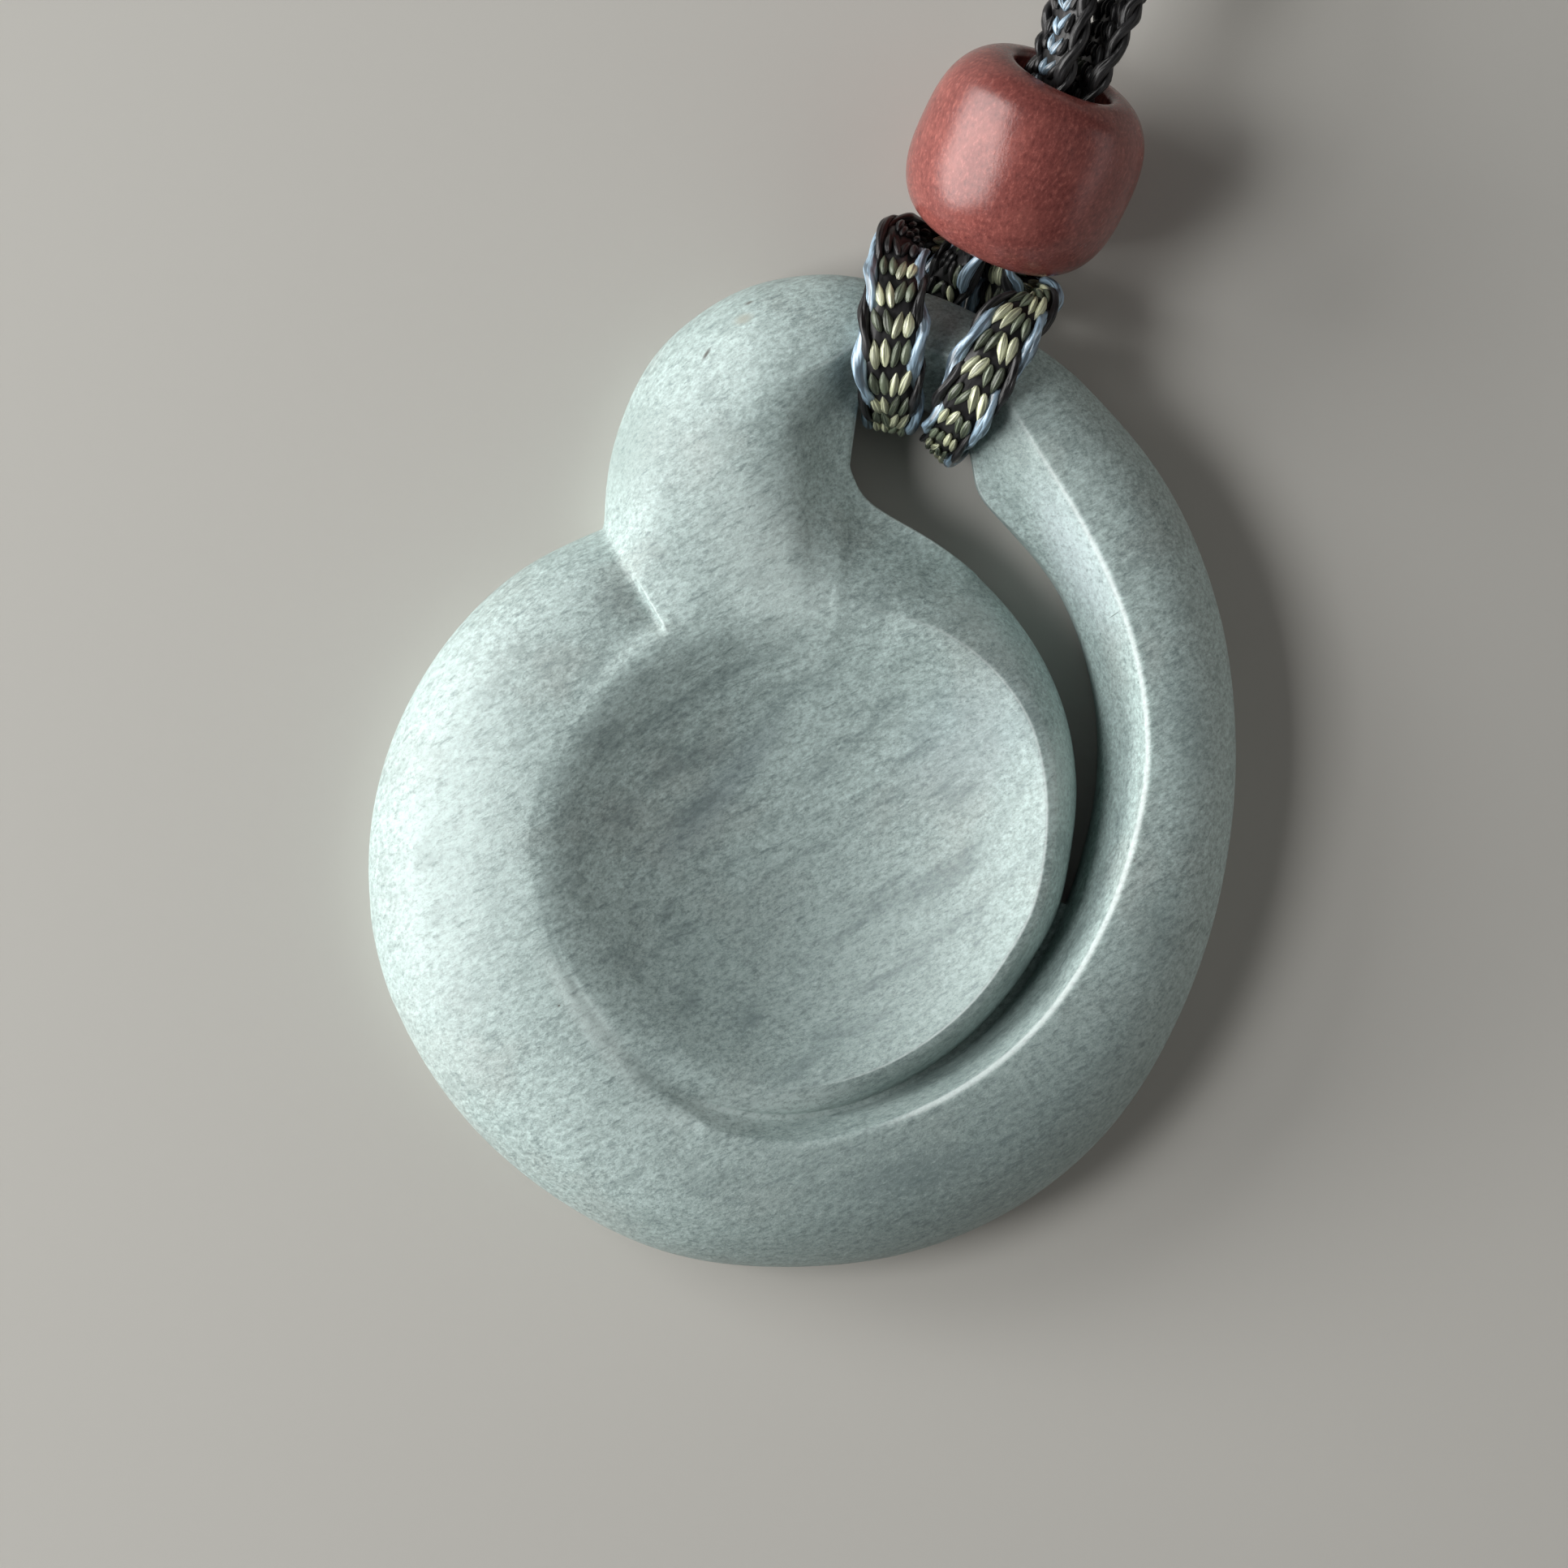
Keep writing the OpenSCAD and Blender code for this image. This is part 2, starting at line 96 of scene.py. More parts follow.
# Route of the hitch, in millimetres: x, y, z, the direction of the band's width, and the share of
# its full width that is left where a fold gathers it
HITCH = [
    (9.25, 31.7, 4.9, 0.4, -0.5, 0.76, 1),
    (8.4, 30.5, 4.3, 0.6, -0.5, 0.6, 0.93),
    (7.9, 29.75, 3.2, 0.8, -0.45, 0.35, 0.85),
    (7.25, 28.5, 1.75, 0.93, -0.37, 0.05, 0.88),
    (6.5, 26.4, 1, 0.93, -0.37, 0, 1),
    (5.75, 24.6, 0.95, 0.95, -0.3, 0, 0.95),
    (5.1, 22.95, 1.5, 0.96, -0.25, 0, 0.88),
    (5.0, 22.5, 3.8, 0.97, -0.22, 0, 0.9),
    (4.95, 23.3, 6.4, 0.98, -0.15, 0, 1.02),
    (4.85, 24.8, 8.05, 1, -0.05, 0, 1.12),
    (4.95, 26.6, 8.5, 1, 0, 0, 1.14),
    (5.1, 28.6, 8.15, 1, -0.05, 0, 1.08),
    (5.3, 30.4, 7, 1, -0.2, 0, 1),
    (5.5, 31.8, 5.6, 0.8, -0.6, 0, 0.9),
    (5.9, 32.1, 3.9, 0.3, -0.95, -0.1, 0.8),
    (6.5, 31.9, 2.2, -0.1, -0.97, -0.1, 0.85),
    (7.9, 31.4, 1.05, -0.3, -0.95, 0, 0.95),
    (9.7, 30.8, 0.8, -0.38, -0.92, 0, 0.95),
    (11.3, 30.1, 0.8, -0.42, -0.9, 0, 0.8),
    (12.7, 29.35, 1.6, -0.45, -0.88, 0, 0.65),
    (13.0, 29.0, 3.4, -0.5, -0.85, 0.1, 0.65),
    (12.8, 28.65, 5.1, -0.8, -0.45, 0.35, 0.7),
    (12.1, 28.2, 7.0, -0.92, 0.2, 0.2, 0.9),
    (10.9, 26.9, 8.2, -0.9, 0.43, 0, 1.08),
    (9.75, 24.9, 8.3, -0.91, 0.42, 0, 1.12),
    (8.7, 23, 7.6, -0.88, 0.47, 0, 1.05),
    (7.9, 21.7, 5.8, -0.8, 0.6, 0, 0.85),
    (7.6, 21.2, 3.6, -0.72, 0.7, 0, 0.73),
    (7.95, 21.5, 1.5, -0.8, 0.6, 0, 0.74),
    (8.95, 23.1, 0.95, -0.9, 0.44, 0, 0.9),
    (9.6, 24.9, 0.95, -0.93, 0.37, 0, 1),
    (10.1, 26.7, 1.1, -0.93, 0.35, 0, 1),
    (10.35, 27.9, 1.9, -0.88, 0.4, -0.1, 0.9),
    (10.5, 28.9, 2.8, -0.8, 0.45, -0.3, 0.86),
    (10.6, 29.8, 3.35, -0.65, 0.5, -0.5, 0.9),
    (10.55, 31, 3.95, -0.45, 0.52, -0.7, 1),
]

# Route of the neck loop, in the same columns
NECK = [
    (13.4, 40.9, 8.9, 0.5, -0.4, 0.75, 1),
    (14.35, 44.3, 8.7, 0.6, -0.2, 0.75, 1),
    (16, 50, 6.4, 0.3, 0, 0.95, 1),
    (17.5, 57.5, 3.4, 0, 0, 1, 1),
    (18.5, 68, 1.9, 0, 0, 1, 1),
    (19, 88, 1.75, 0, 0, 1, 1),
    (19, 116, 1.75, 0, 0, 1, 1),
    (23, 149, 1.75, 0, 0, 1, 1),
    (34, 183, 1.75, 0, 0, 1, 1),
    (54, 213, 1.75, 0, 0, 1, 1),
    (83, 235, 1.75, 0, 0, 1, 1),
    (117, 244, 1.75, 0, 0, 1, 1),
    (150, 237, 1.75, 0, 0, 1, 1),
    (174, 215, 1.75, 0, 0, 1, 1),
    (184, 184, 1.75, 0, 0, 1, 1),
    (179, 151, 1.75, 0, 0, 1, 1),
    (160, 122, 1.75, 0, 0, 1, 1),
    (132, 100, 1.75, 0, 0, 1, 1),
    (101, 85, 1.75, 0, 0, 1, 1),
    (69, 74, 1.75, 0, 0, 1, 1),
    (44, 66, 1.9, 0, 0, 1, 1),
    (29, 57.5, 3.2, 0, 0, 1, 1),
    (20.6, 49.5, 6.2, 0.2, 0, 1, 1),
    (17.0, 44.0, 8.0, 0.5, -0.2, 0.85, 1),
    (15.25, 40.55, 7.9, 0.45, -0.45, 0.77, 1),
]


# ---- what a user can change


def colour(name, description, default):
    return FloatVectorProperty(
        name=name,
        description=description,
        subtype="COLOR",
        size=4,
        min=0,
        max=1,
        default=(*default, 1),
    )


def amount(name, description, default, **limits):
    return FloatProperty(name=name, description=description, min=0, default=default, **limits)


def length(name, description, default):
    return amount(name, description, default, unit="LENGTH", precision=5)


def factor(name, description, default):
    return amount(name, description, default, subtype="FACTOR", max=1)


class PendantJadeSettings(bpy.types.PropertyGroup):
    pale: colour("Pale stone", "Colour of the stone's light grains", (0.60, 0.735, 0.705))
    deep: colour("Deep stone", "Colour between the light grains", (0.205, 0.262, 0.252))
    vein: colour("Veins", "Colour of the fine dark veins", (0.14, 0.19, 0.19))
    grain: length("Grain", "Size of the stone's grains", 0.00025)
    roughness: factor("Roughness", "How satin the polish is", 0.42)
    sharp: FloatProperty(
        name="Sharp edges",
        description="Edges that turn more than this stay crisp",
        subtype="ANGLE",
        default=math.radians(24),
    )
    crease: factor("Crease", "How crisp the sharp edges stay", 0.75)
    levels: IntProperty(
        name="Smoothing", description="Times that the skin is subdivided", default=2, min=0, max=3
    )


class PendantBeadSettings(bpy.types.PropertyGroup):
    stone: colour("Stone", "Main colour of the bead", (0.228, 0.064, 0.055))
    light: colour("Light flecks", "Colour of the light flecks", (0.42, 0.135, 0.11))
    dark: colour("Dark flecks", "Colour of the dark flecks", (0.12, 0.033, 0.03))
    roughness: factor("Roughness", "How worn the polish is", 0.22)
    turns: IntProperty(name="Steps", description="Steps round the bead", default=128, min=12)


class PendantBandSettings(bpy.types.PropertyGroup):
    width: length("Width", "Width of the woven band", 0.0033)
    thickness: length("Thickness", "Thickness of the woven band", 0.0014)
    row: length("Row", "Length of one row of stitches", 0.0015)
    twist: length("Twist", "Length of one turn of the hitch's edge strands", 0.0054)
    neck_twist: length("Neck twist", "Length of one turn of the loop's edge strands", 0.0034)
    cream: colour("Cream thread", "Colour of the bright centre stitches", (0.96, 1.0, 0.66))
    olive: colour("Olive thread", "Colour of the dull centre stitches", (0.21, 0.25, 0.17))
    blue: colour("Blue thread", "Colour of the edge's blue strand", (0.42, 0.59, 0.73))
    black: colour("Black thread", "Colour of the ground and black strands", (0.042, 0.041, 0.042))
    roughness: factor("Roughness", "How dull the thread is", 0.3)


class PendantStageSettings(bpy.types.PropertyGroup):
    floor: colour("Floor", "Colour of the plain surface", (0.53, 0.515, 0.475))
    low_watts: amount("Low window", "Power of the window's lower part", 3.9)
    mid_watts: amount("Middle window", "Power of its middle", 0.78)
    high_watts: amount("High window", "Power of its upper part", 1.02)
    pane_watts: amount("Pane", "Power of the window's reflection", 12.8)
    fill_watts: amount("Fill", "Power of the weak light on the right", 0.46)
    wall_watts: amount("Wall", "Power of the wall's reflection", 0.42)
    sky: amount("Sky", "Strength of the light from all round", 0.055)
    camera_height: length("Camera height", "Height of the camera above the surface", 0.3)


# ---- materials


class Finish:
    """A material whose nodes are added one by one."""

    def __init__(self, name):
        self.material = bpy.data.materials.new(name)
        self.material.use_nodes = True
        self.tree = self.material.node_tree
        self.shader = self.tree.nodes["Principled BSDF"]

    def fill(self, socket, value):
        if isinstance(value, bpy.types.NodeSocket):
            self.tree.links.new(value, socket)
        else:
            socket.default_value = value

    def add(self, kind, inputs, output=0, **settings):
        node = self.tree.nodes.new("ShaderNode" + kind)
        for name, value in settings.items():
            setattr(node, name, value)
        for name, value in inputs.items():
            self.fill(node.inputs[name], value)
        return node.outputs[output]

    def place(self):
        return self.add("TexCoord", {}, "Object")

    def turned(self, at, angle=0, scale=(1, 1, 1), shift=(0, 0, 0)):
        inputs = {"Vector": at, "Rotation": (0, 0, angle), "Scale": scale, "Location": shift}
        return self.add("Mapping", inputs)

    def drawn(self, at, degrees, stretch):
        """The place on which a pattern is drawn out along a direction in the surface's plane."""
        turned = self.turned(at, angle=-math.radians(degrees))
        return self.turned(turned, scale=(1 / stretch, 1, 1))

    def noise(self, at, size, detail=2, roughness=0.5):
        inputs = {"Vector": at, "Scale": 1 / size, "Detail": detail, "Roughness": roughness}
        return self.add("TexNoise", inputs)

    def spread(self, value, low, high, to_low=0, to_high=1):
        """The value, with low to high eased over to_low to to_high."""
        inputs = {"Value": value, "From Min": low, "From Max": high}
        inputs |= {"To Min": to_low, "To Max": to_high}
        return self.add("MapRange", inputs, interpolation_type="SMOOTHSTEP")

    def times(self, a, b):
        return self.add("Math", {0: a, 1: b}, operation="MULTIPLY")

    def blend(self, share, a, b):
        return self.add("Mix", {"Factor": share, 6: a, 7: b}, 2, data_type="RGBA")

    def bump(self, height, distance, strength=1, normal=None):
        inputs = {"Height": height, "Distance": distance, "Strength": strength}
        if normal is not None:
            inputs["Normal"] = normal
        return self.add("Bump", inputs)

    def shade(self, **inputs):
        for name, value in inputs.items():
            self.fill(self.shader.inputs[name.replace("_", " ")], value)
        return self.material


# Natural marks of the stone: x and y, length and width, all in millimetres, the turn in
# degrees and the colour
STONE_MARKS = [
    (-4.6, 25.8, 1.1, 0.28, 58, (0.10, 0.10, 0.09)),
    (-2.4, 28.5, 0.7, 0.22, 25, (0.16, 0.17, 0.15)),
    (-2.7, 27.6, 1.5, 0.8, 20, (0.37, 0.395, 0.35)),
    (-12.2, -7.9, 0.22, 0.13, 20, (0.12, 0.11, 0.09)),
    (16.5, 12.3, 0.9, 0.09, 35, (0.16, 0.20, 0.19)),
    (17.5, -0.4, 0.25, 0.12, 70, (0.18, 0.20, 0.19)),
]

# Painted light and shade: ovals where the stone is painted lighter where light falls on it and
# darker where it lies in shade, with how strong each one is before its colour. Two of the small
# ones are bluish tints of the stone itself. The wide ones, painted shade towards the lower right
# and over the lower dish, hide the stone's grains, so the grains are drawn once more over them.
WIDE_PAINTED_SHADE = [
    (8, -16, 50, 28, 22, 0.72, (0.25, 0.315, 0.30)),
    (-1, -6, 28, 20, 25, 0.62, (0.28, 0.355, 0.34)),
]
SMALL_TINTS_AND_PAINTED_SHADING = [
    # painted light on the head
    (-1.5, 15.5, 17, 9, 115, 0.4, (0.66, 0.76, 0.73)),
    # painted shade along the bottom and on the arm's outer flank
    (6, -16.6, 11, 3.4, 14, 0.45, (0.15, 0.20, 0.20)),
    (-4.2, -17, 6, 2.2, 8, 0.3, (0.17, 0.22, 0.21)),
    (20.2, 6.5, 10, 3.6, 102, 0.28, (0.19, 0.26, 0.255)),
    # painted light on the plateau, the groove's lower edge and the dish's right and upper rims
    (-18, 0, 34, 11, 88, 0.4, (0.74, 0.87, 0.84)),
    (-1, -13.2, 18, 2.6, 4, 0.55, (0.70, 0.81, 0.78)),
    (13.6, 4.2, 9, 2.6, 82, 0.45, (0.62, 0.72, 0.69)),
    (9.6, 12, 7, 2.6, 132, 0.35, (0.60, 0.70, 0.67)),
    # painted shade low on the arm
    (18.6, -4, 7, 4, 75, 0.35, (0.19, 0.26, 0.25)),
    # a darker bluish band of the stone
    (-4, 3, 15, 3, 50, 0.4, (0.20, 0.255, 0.275)),
    # painted shade on the head's left and on the arm's upper bevel
    (-8.5, 21, 9, 6, 60, 0.6, (0.30, 0.37, 0.35)),
    (11.5, 21, 8, 5, 120, 0.4, (0.32, 0.39, 0.37)),
    # a bluish tint of the stone
    (9, 6, 12, 9, 40, 0.3, (0.36, 0.46, 0.49)),
    # painted light on the dish's shaded lower rim, then a painted highlight glowing along the arm's
    # crest
    (-10.5, -8.8, 13, 2.2, 126, 0.5, (0.68, 0.78, 0.75)),
    (14.6, 15.2, 13, 3.4, 117, 0.45, (0.68, 0.77, 0.80)),
]

# Stretches where no highlight is painted on the crest, in the first five of those columns
CRESTS_WITHOUT_PAINTED_HIGHLIGHT = [(-10, -8.8, 26, 9, 131), (-1.5, -14.2, 19, 6, 5)]

# How the stone's patterns are drawn: heading in degrees, how far drawn out, size in grains,
# detail and roughness
GRAINS = (30, 1.6, 1, 5, 0.85)
FIBRES = (28, 4.5, 1.2, 4, 0.75)
PATCHES = (32, 2, 5, 4, 0.65)
VEINS = (31, 6, 6, 4, 0.6)

# Its other colours
DULL_CLOUD = (0.40, 0.42, 0.39, 1)
DARK_GRAIN = (0.15, 0.20, 0.195, 1)
LIGHT_GRAIN = (0.46, 0.55, 0.53, 1)
SUGAR = (0.75, 0.82, 0.8, 1)
# a highlight painted near-white on the stone's convex crests
PAINTED_CREST_HIGHLIGHT = (0.86, 0.93, 0.91, 1)

# The distances from the dish's middle between which the veins fade
VEINS_FULL, VEINS_FAINT = 0.010, 0.019


def stone_mark(finish, at, x, y, along, across, turn):
    """A soft oval: 1 in its middle and 0 outside."""
    moved = finish.turned(at, shift=(-x * MM, -y * MM, 0))
    turned = finish.turned(moved, angle=-math.radians(turn))
    sized = finish.turned(turned, scale=(2 / (along * MM), 2 / (across * MM), 0))
    far = finish.add("VectorMath", {0: sized}, "Value", operation="LENGTH")
    return finish.spread(far, 1.0, 0.15)


def jade_finish(look):
    """Pale jadeite: sugary grains, slanted veins and a few natural marks, with painted light and
    shade, a painted highlight on its crests, and a satin polish.
    """
    f = Finish("jadeite")
    at = f.place()
    grains, fibres, patches, veins = (
        f.noise(f.drawn(at, heading, stretch), look.grain * size, detail, roughness)
        for heading, stretch, size, detail, roughness in (GRAINS, FIBRES, PATCHES, VEINS)
    )
    clouds = f.noise(at, look.grain * 26, 3, 0.5)
    from_middle = f.add("VectorMath", {0: at}, "Value", operation="LENGTH")
    in_dish = f.spread(from_middle, VEINS_FAINT, VEINS_FULL, 0.2, 1)
    body = f.blend(f.spread(grains, 0.28, 0.72), look.deep, look.pale)
    body = f.blend(f.spread(clouds, 0.4, 0.6, 0, 0.2), body, look.pale)
    body = f.blend(f.spread(clouds, 0.5, 0.35, 0, 0.25), body, DULL_CLOUD)
    body = f.blend(f.spread(patches, 0.52, 0.68, 0, 0.4), body, look.deep)
    # painted light and shade, and the stone's own tints
    for *oval, share, tint in WIDE_PAINTED_SHADE + SMALL_TINTS_AND_PAINTED_SHADING:
        body = f.blend(f.times(stone_mark(f, at, *oval), share), body, (*tint, 1))
    for *oval, _, _ in WIDE_PAINTED_SHADE:
        zone = stone_mark(f, at, *oval)
        body = f.blend(f.times(f.spread(grains, 0.52, 0.34, 0, 0.5), zone), body, DARK_GRAIN)
        body = f.blend(f.times(f.spread(grains, 0.52, 0.66, 0, 0.3), zone), body, LIGHT_GRAIN)
    body = f.blend(f.spread(grains, 0.5, 0.32, 0, 0.28), body, look.deep)
    body = f.blend(f.spread(fibres, 0.5, 0.75, 0, 0.7), body, look.vein)
    body = f.blend(f.times(f.spread(veins, 0.5, 0.68, 0, 0.5), in_dish), body, look.vein)
    body = f.blend(f.spread(grains, 0.6, 0.76, 0, 0.45), body, SUGAR)
    # the convex crests are painted near-white: a painted highlight
    crest = f.spread(f.add("Attribute", {}, "Fac", attribute_name="crest"), 0.07, 0.2, 0, 0.4)
    for oval in CRESTS_WITHOUT_PAINTED_HIGHLIGHT:
        crest = f.times(crest, f.spread(stone_mark(f, at, *oval), 0, 0.5, 1, 0))
    body = f.blend(crest, body, PAINTED_CREST_HIGHLIGHT)
    for *oval, tint in STONE_MARKS:
        body = f.blend(stone_mark(f, at, *oval), body, (*tint, 1))
    dull = f.spread(grains, 0.3, 0.7, look.roughness - 0.06, look.roughness + 0.06)
    relief = f.bump(patches, 0.0001, 0.25)
    relief = f.bump(fibres, 0.00005, 0.5, relief)
    relief = f.bump(grains, 0.00005, 0.7, relief)
    return f.shade(
        Base_Color=body,
        Roughness=dull,
        Normal=relief,
        Subsurface_Weight=0.22,
        Subsurface_Radius=(1, 1.05, 1),
        Subsurface_Scale=0.0009,
        Specular_IOR_Level=0.36,
    )


def agate_finish(look):
    """Red agate: fine flecks drawn out along the bead, and a polish dulled by wear."""
    f = Finish("red_agate")
    at = f.place()
    drawn = f.drawn(at, BEAD_HEADING, 2)
    flecks = f.noise(drawn, 0.0002, 4, 0.75)
    patches = f.noise(at, 0.0022, 3, 0.55)
    stone = f.blend(f.spread(flecks, 0.5, 0.7, 0, 0.85), look.stone, look.light)
    stone = f.blend(f.spread(flecks, 0.5, 0.32, 0, 0.75), stone, look.dark)
    stone = f.blend(f.spread(patches, 0.45, 0.7, 0, 0.3), stone, look.light)
    scratches = f.noise(drawn, 0.0006, 4, 0.7)
    wear = f.spread(scratches, 0.4, 0.7, look.roughness - 0.02, look.roughness + 0.06)
    relief = f.bump(flecks, 0.00003, 0.4)
    return f.shade(Base_Color=stone, Roughness=wear, Normal=relief)


# Lines round a stitch: its plies, and the finer filaments in each
PLIES = 9
FILAMENTS = 27
# How bright the painted shade between the thread's plies is, and the thread on its dullest stitch,
# as shares of its colour
PAINTED_SHADE_BETWEEN_PLIES = 0.22
DULLEST_STITCH = 0.62


def thread_finish(name, tint, look, gloss):
    """Satin thread: painted shade between its plies and filaments, and each stitch of its own tone.
    """
    f = Finish(name)
    lengthwise = f.add("UVMap", {}, uv_map="UVMap")
    tone = f.add("Attribute", {}, "Fac", attribute_name="tone")
    # the tone moves the pattern too, so that no two stitches have the same lines
    apart = f.add("CombineXYZ", {"Z": f.times(tone, 40.0)})
    lines = []
    for across, along in ((PLIES, 0.7), (FILAMENTS, 1.2)):
        drawn = f.add("Mapping", {"Vector": lengthwise, "Scale": (across, along, 1)})
        moved = f.add("VectorMath", {0: drawn, 1: apart}, operation="ADD")
        lines.append(f.add("TexNoise", {"Vector": moved, "Scale": 1.0, "Detail": 1}))
    ply, filament = lines
    # painted shade in the grooves between the plies and between the filaments
    dark = [c * PAINTED_SHADE_BETWEEN_PLIES for c in tint[:3]] + [1]
    dull = [c * DULLEST_STITCH for c in tint[:3]] + [1]
    thread = f.blend(tone, dull, tint)
    thread = f.blend(f.spread(filament, 0.5, 0.3, 0, 0.5), thread, dark)
    thread = f.blend(f.spread(ply, 0.54, 0.42, 0, 0.95), thread, dark)
    relief = f.bump(filament, 0.00003, 0.5, f.bump(ply, 0.00012, 0.9))
    rough = look.roughness
    return f.shade(Base_Color=thread, Roughness=rough, Normal=relief, Specular_IOR_Level=gloss)


def floor_finish(look):
    """A plain matt surface, its colour a trace uneven."""
    f = Finish("pale_surface")
    tooth = f.noise(f.place(), 0.0009, 3)
    darker = [c * 0.97 for c in look.floor[:3]] + [1]
    plain = f.blend(f.spread(tooth, 0.3, 0.7, 0.44, 0.56), darker, look.floor)
    return f.shade(Base_Color=plain, Roughness=0.85, Specular_IOR_Level=0.2)


# ---- meshes


def start_new():
    """Nothing is selected, so the next operators act on the new piece alone."""
    if bpy.context.object and bpy.context.object.mode != "OBJECT":
        bpy.ops.object.mode_set(mode="OBJECT")
    bpy.ops.object.select_all(action="DESELECT")


def activate(piece):
    start_new()
    piece.select_set(True)
    bpy.context.view_layer.objects.active = piece


def apply_place(piece):
    activate(piece)
    bpy.ops.object.transform_apply(location=True, rotation=True, scale=True)


def finish_piece(piece, name, node, materials):
    """Names the piece, gives it its materials and has it stand for its CAD node."""
    piece.name = piece.data.name = name
    places = [face.material_index for face in piece.data.polygons]
    piece.data.materials.clear()
    for material in materials:
        piece.data.materials.append(material)
    piece.data.polygons.foreach_set("material_index", [min(i, len(materials) - 1) for i in places])
    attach(piece, BODY)
    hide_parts(node)


def mark_crests(mesh):
    """Gives each vertex how far its neighbours fall away below it, as the attribute crest, from
    which the stone paints a highlight on its crests.
    """
    places = np.empty(len(mesh.vertices) * 3, np.float32)
    mesh.vertices.foreach_get("co", places)
    places = places.reshape(-1, 3)
    normals = np.empty(len(mesh.vertices) * 3, np.float32)
    mesh.vertex_normals.foreach_get("vector", normals)
    normals = normals.reshape(-1, 3)
    ends = np.empty(len(mesh.edges) * 2, np.int32)
    mesh.edges.foreach_get("vertices", ends)
    first, second = ends.reshape(-1, 2).T
    way = places[second] - places[first]
    way /= np.maximum(np.linalg.norm(way, axis=1, keepdims=True), 1e-9)
    fall, count = np.zeros(len(places)), np.zeros(len(places))
    np.add.at(fall, first, -np.sum(way * normals[first], axis=1))
    np.add.at(fall, second, np.sum(way * normals[second], axis=1))
    np.add.at(count, ends, 1)
    crest = mesh.attributes.new("crest", "FLOAT", "POINT")
    crest.data.foreach_set("value", (fall / np.maximum(count, 1)).astype(np.float32))


def copy_of_node(node):
    """A copy of a CAD node with its triangles merged, ready to be shaped."""
    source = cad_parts[node]
    piece = bpy.data.objects.new(node, source.data.copy())
    bpy.context.scene.collection.objects.link(piece)
    activate(piece)
    bpy.ops.object.mode_set(mode="EDIT")
    bpy.ops.mesh.select_all(action="SELECT")
    bpy.ops.mesh.remove_doubles(threshold=1e-6)
    bpy.ops.mesh.customdata_custom_splitnormals_clear()
    bpy.ops.mesh.select_all(action="DESELECT")
    bpy.ops.object.mode_set(mode="OBJECT")
    return piece


# ---- the woven band


def direction(heading, rise):
    """The way that a heading and a rise point, both in degrees."""
    a, e = math.radians(heading), math.radians(rise)
    return Vector((math.cos(a) * math.cos(e), math.sin(a) * math.cos(e), math.sin(e)))


def bead_directions():
    """The bead's axis, the direction to its side and the one up through it."""
    axis = direction(BEAD_HEADING, BEAD_RISE)
    side = direction(BEAD_HEADING - 90, 0)
    return axis, side, side.cross(axis)


def bead_centre():
    low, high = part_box("red_bead")
    return (low + high) / 2


def bead_row(side_mm, along_mm, facing=1):
    """A row of the route inside the bead, to one side of its axis, at a place along it."""
    axis, side, up = bead_directions()
    turn = math.radians(BEAD_TURN)
    pair = side * math.cos(turn) - up * math.sin(turn)
    width = side * math.sin(turn) + up * math.cos(turn)
    place = bead_centre() / MM + axis * along_mm + pair * side_mm
    return (*place, *(width * facing), 1)


def band_rows(route, below, facing):
    """A route with its two ends inside the bead, which it enters from below or from above."""
    sign = -1 if below else 1
    near, far = sign * JOINT_GAP_MM, sign * BEAD_STRAIGHT_MM
    starts = [bead_row(-BEAD_SIDE_MM, along) for along in (near, far)]
    ends = [bead_row(BEAD_SIDE_MM, along, facing) for along in (far, near)]
    return [*starts, *route, *ends]


def hitch_rows():
    return band_rows(HITCH, below=True, facing=-1)


def neck_rows():
    return band_rows(NECK, below=False, facing=1)


class BandPath:
    """The band's centre line, with its width and thickness directions along it, in millimetres.

    It is a smooth curve through the rows, in STEPS steps from each row to the next.
    """

    STEPS = 24
    END_MM = 0.02

    def __init__(self, rows):
        table = np.array(rows, float)
        ends = np.vstack([table[:1], table, table[-1:]])
        a, b, c, d = (ends[i : len(ends) - 3 + i, None, :] for i in range(4))
        t = np.arange(self.STEPS)[None, :, None] / self.STEPS
        square = (2 * a - 5 * b + 4 * c - d) * t**2
        cube = (3 * b - a - 3 * c + d) * t**3
        fine = 0.5 * (2 * b + (c - a) * t + square + cube)
        fine = np.vstack([fine.reshape(-1, table.shape[1]), table[-1:]])
        self.place = fine[:, :3]
        self.gather = fine[:, 6]
        steps = np.linalg.norm(np.diff(self.place, axis=0), axis=1)
        self.at = np.concatenate([[0], np.cumsum(steps)])
        self.length = self.at[-1]
        along = self.unit(np.gradient(self.place, self.at, axis=0))
        wish = fine[:, 3:6]
        self.across = self.unit(wish - along * np.sum(wish * along, axis=1, keepdims=True))
        self.through = np.cross(along, self.across)

    @staticmethod
    def unit(vectors):
        return vectors / np.linalg.norm(vectors, axis=1, keepdims=True)

    def between(self, column, s):
        return np.stack([np.interp(s, self.at, column[:, k]) for k in range(3)], axis=1)

    def stations(self, step_mm):
        """Places along the band, about step_mm apart, that stay just inside its ends."""
        return np.linspace(self.END_MM, self.length - self.END_MM, int(self.length / step_mm))

    def lay(self, flat):
        """Points given along, across and through the flat band, laid on its route, in metres."""
        s, u, v = flat[:, 0], flat[:, 1], flat[:, 2]
        gather = np.interp(s, self.at, self.gather)
        across = self.unit(self.between(self.across, s)) * (u * gather)[:, None]
        through = self.unit(self.between(self.through, s)) * v[:, None]
        return (self.between(self.place, s) + across + through) * MM


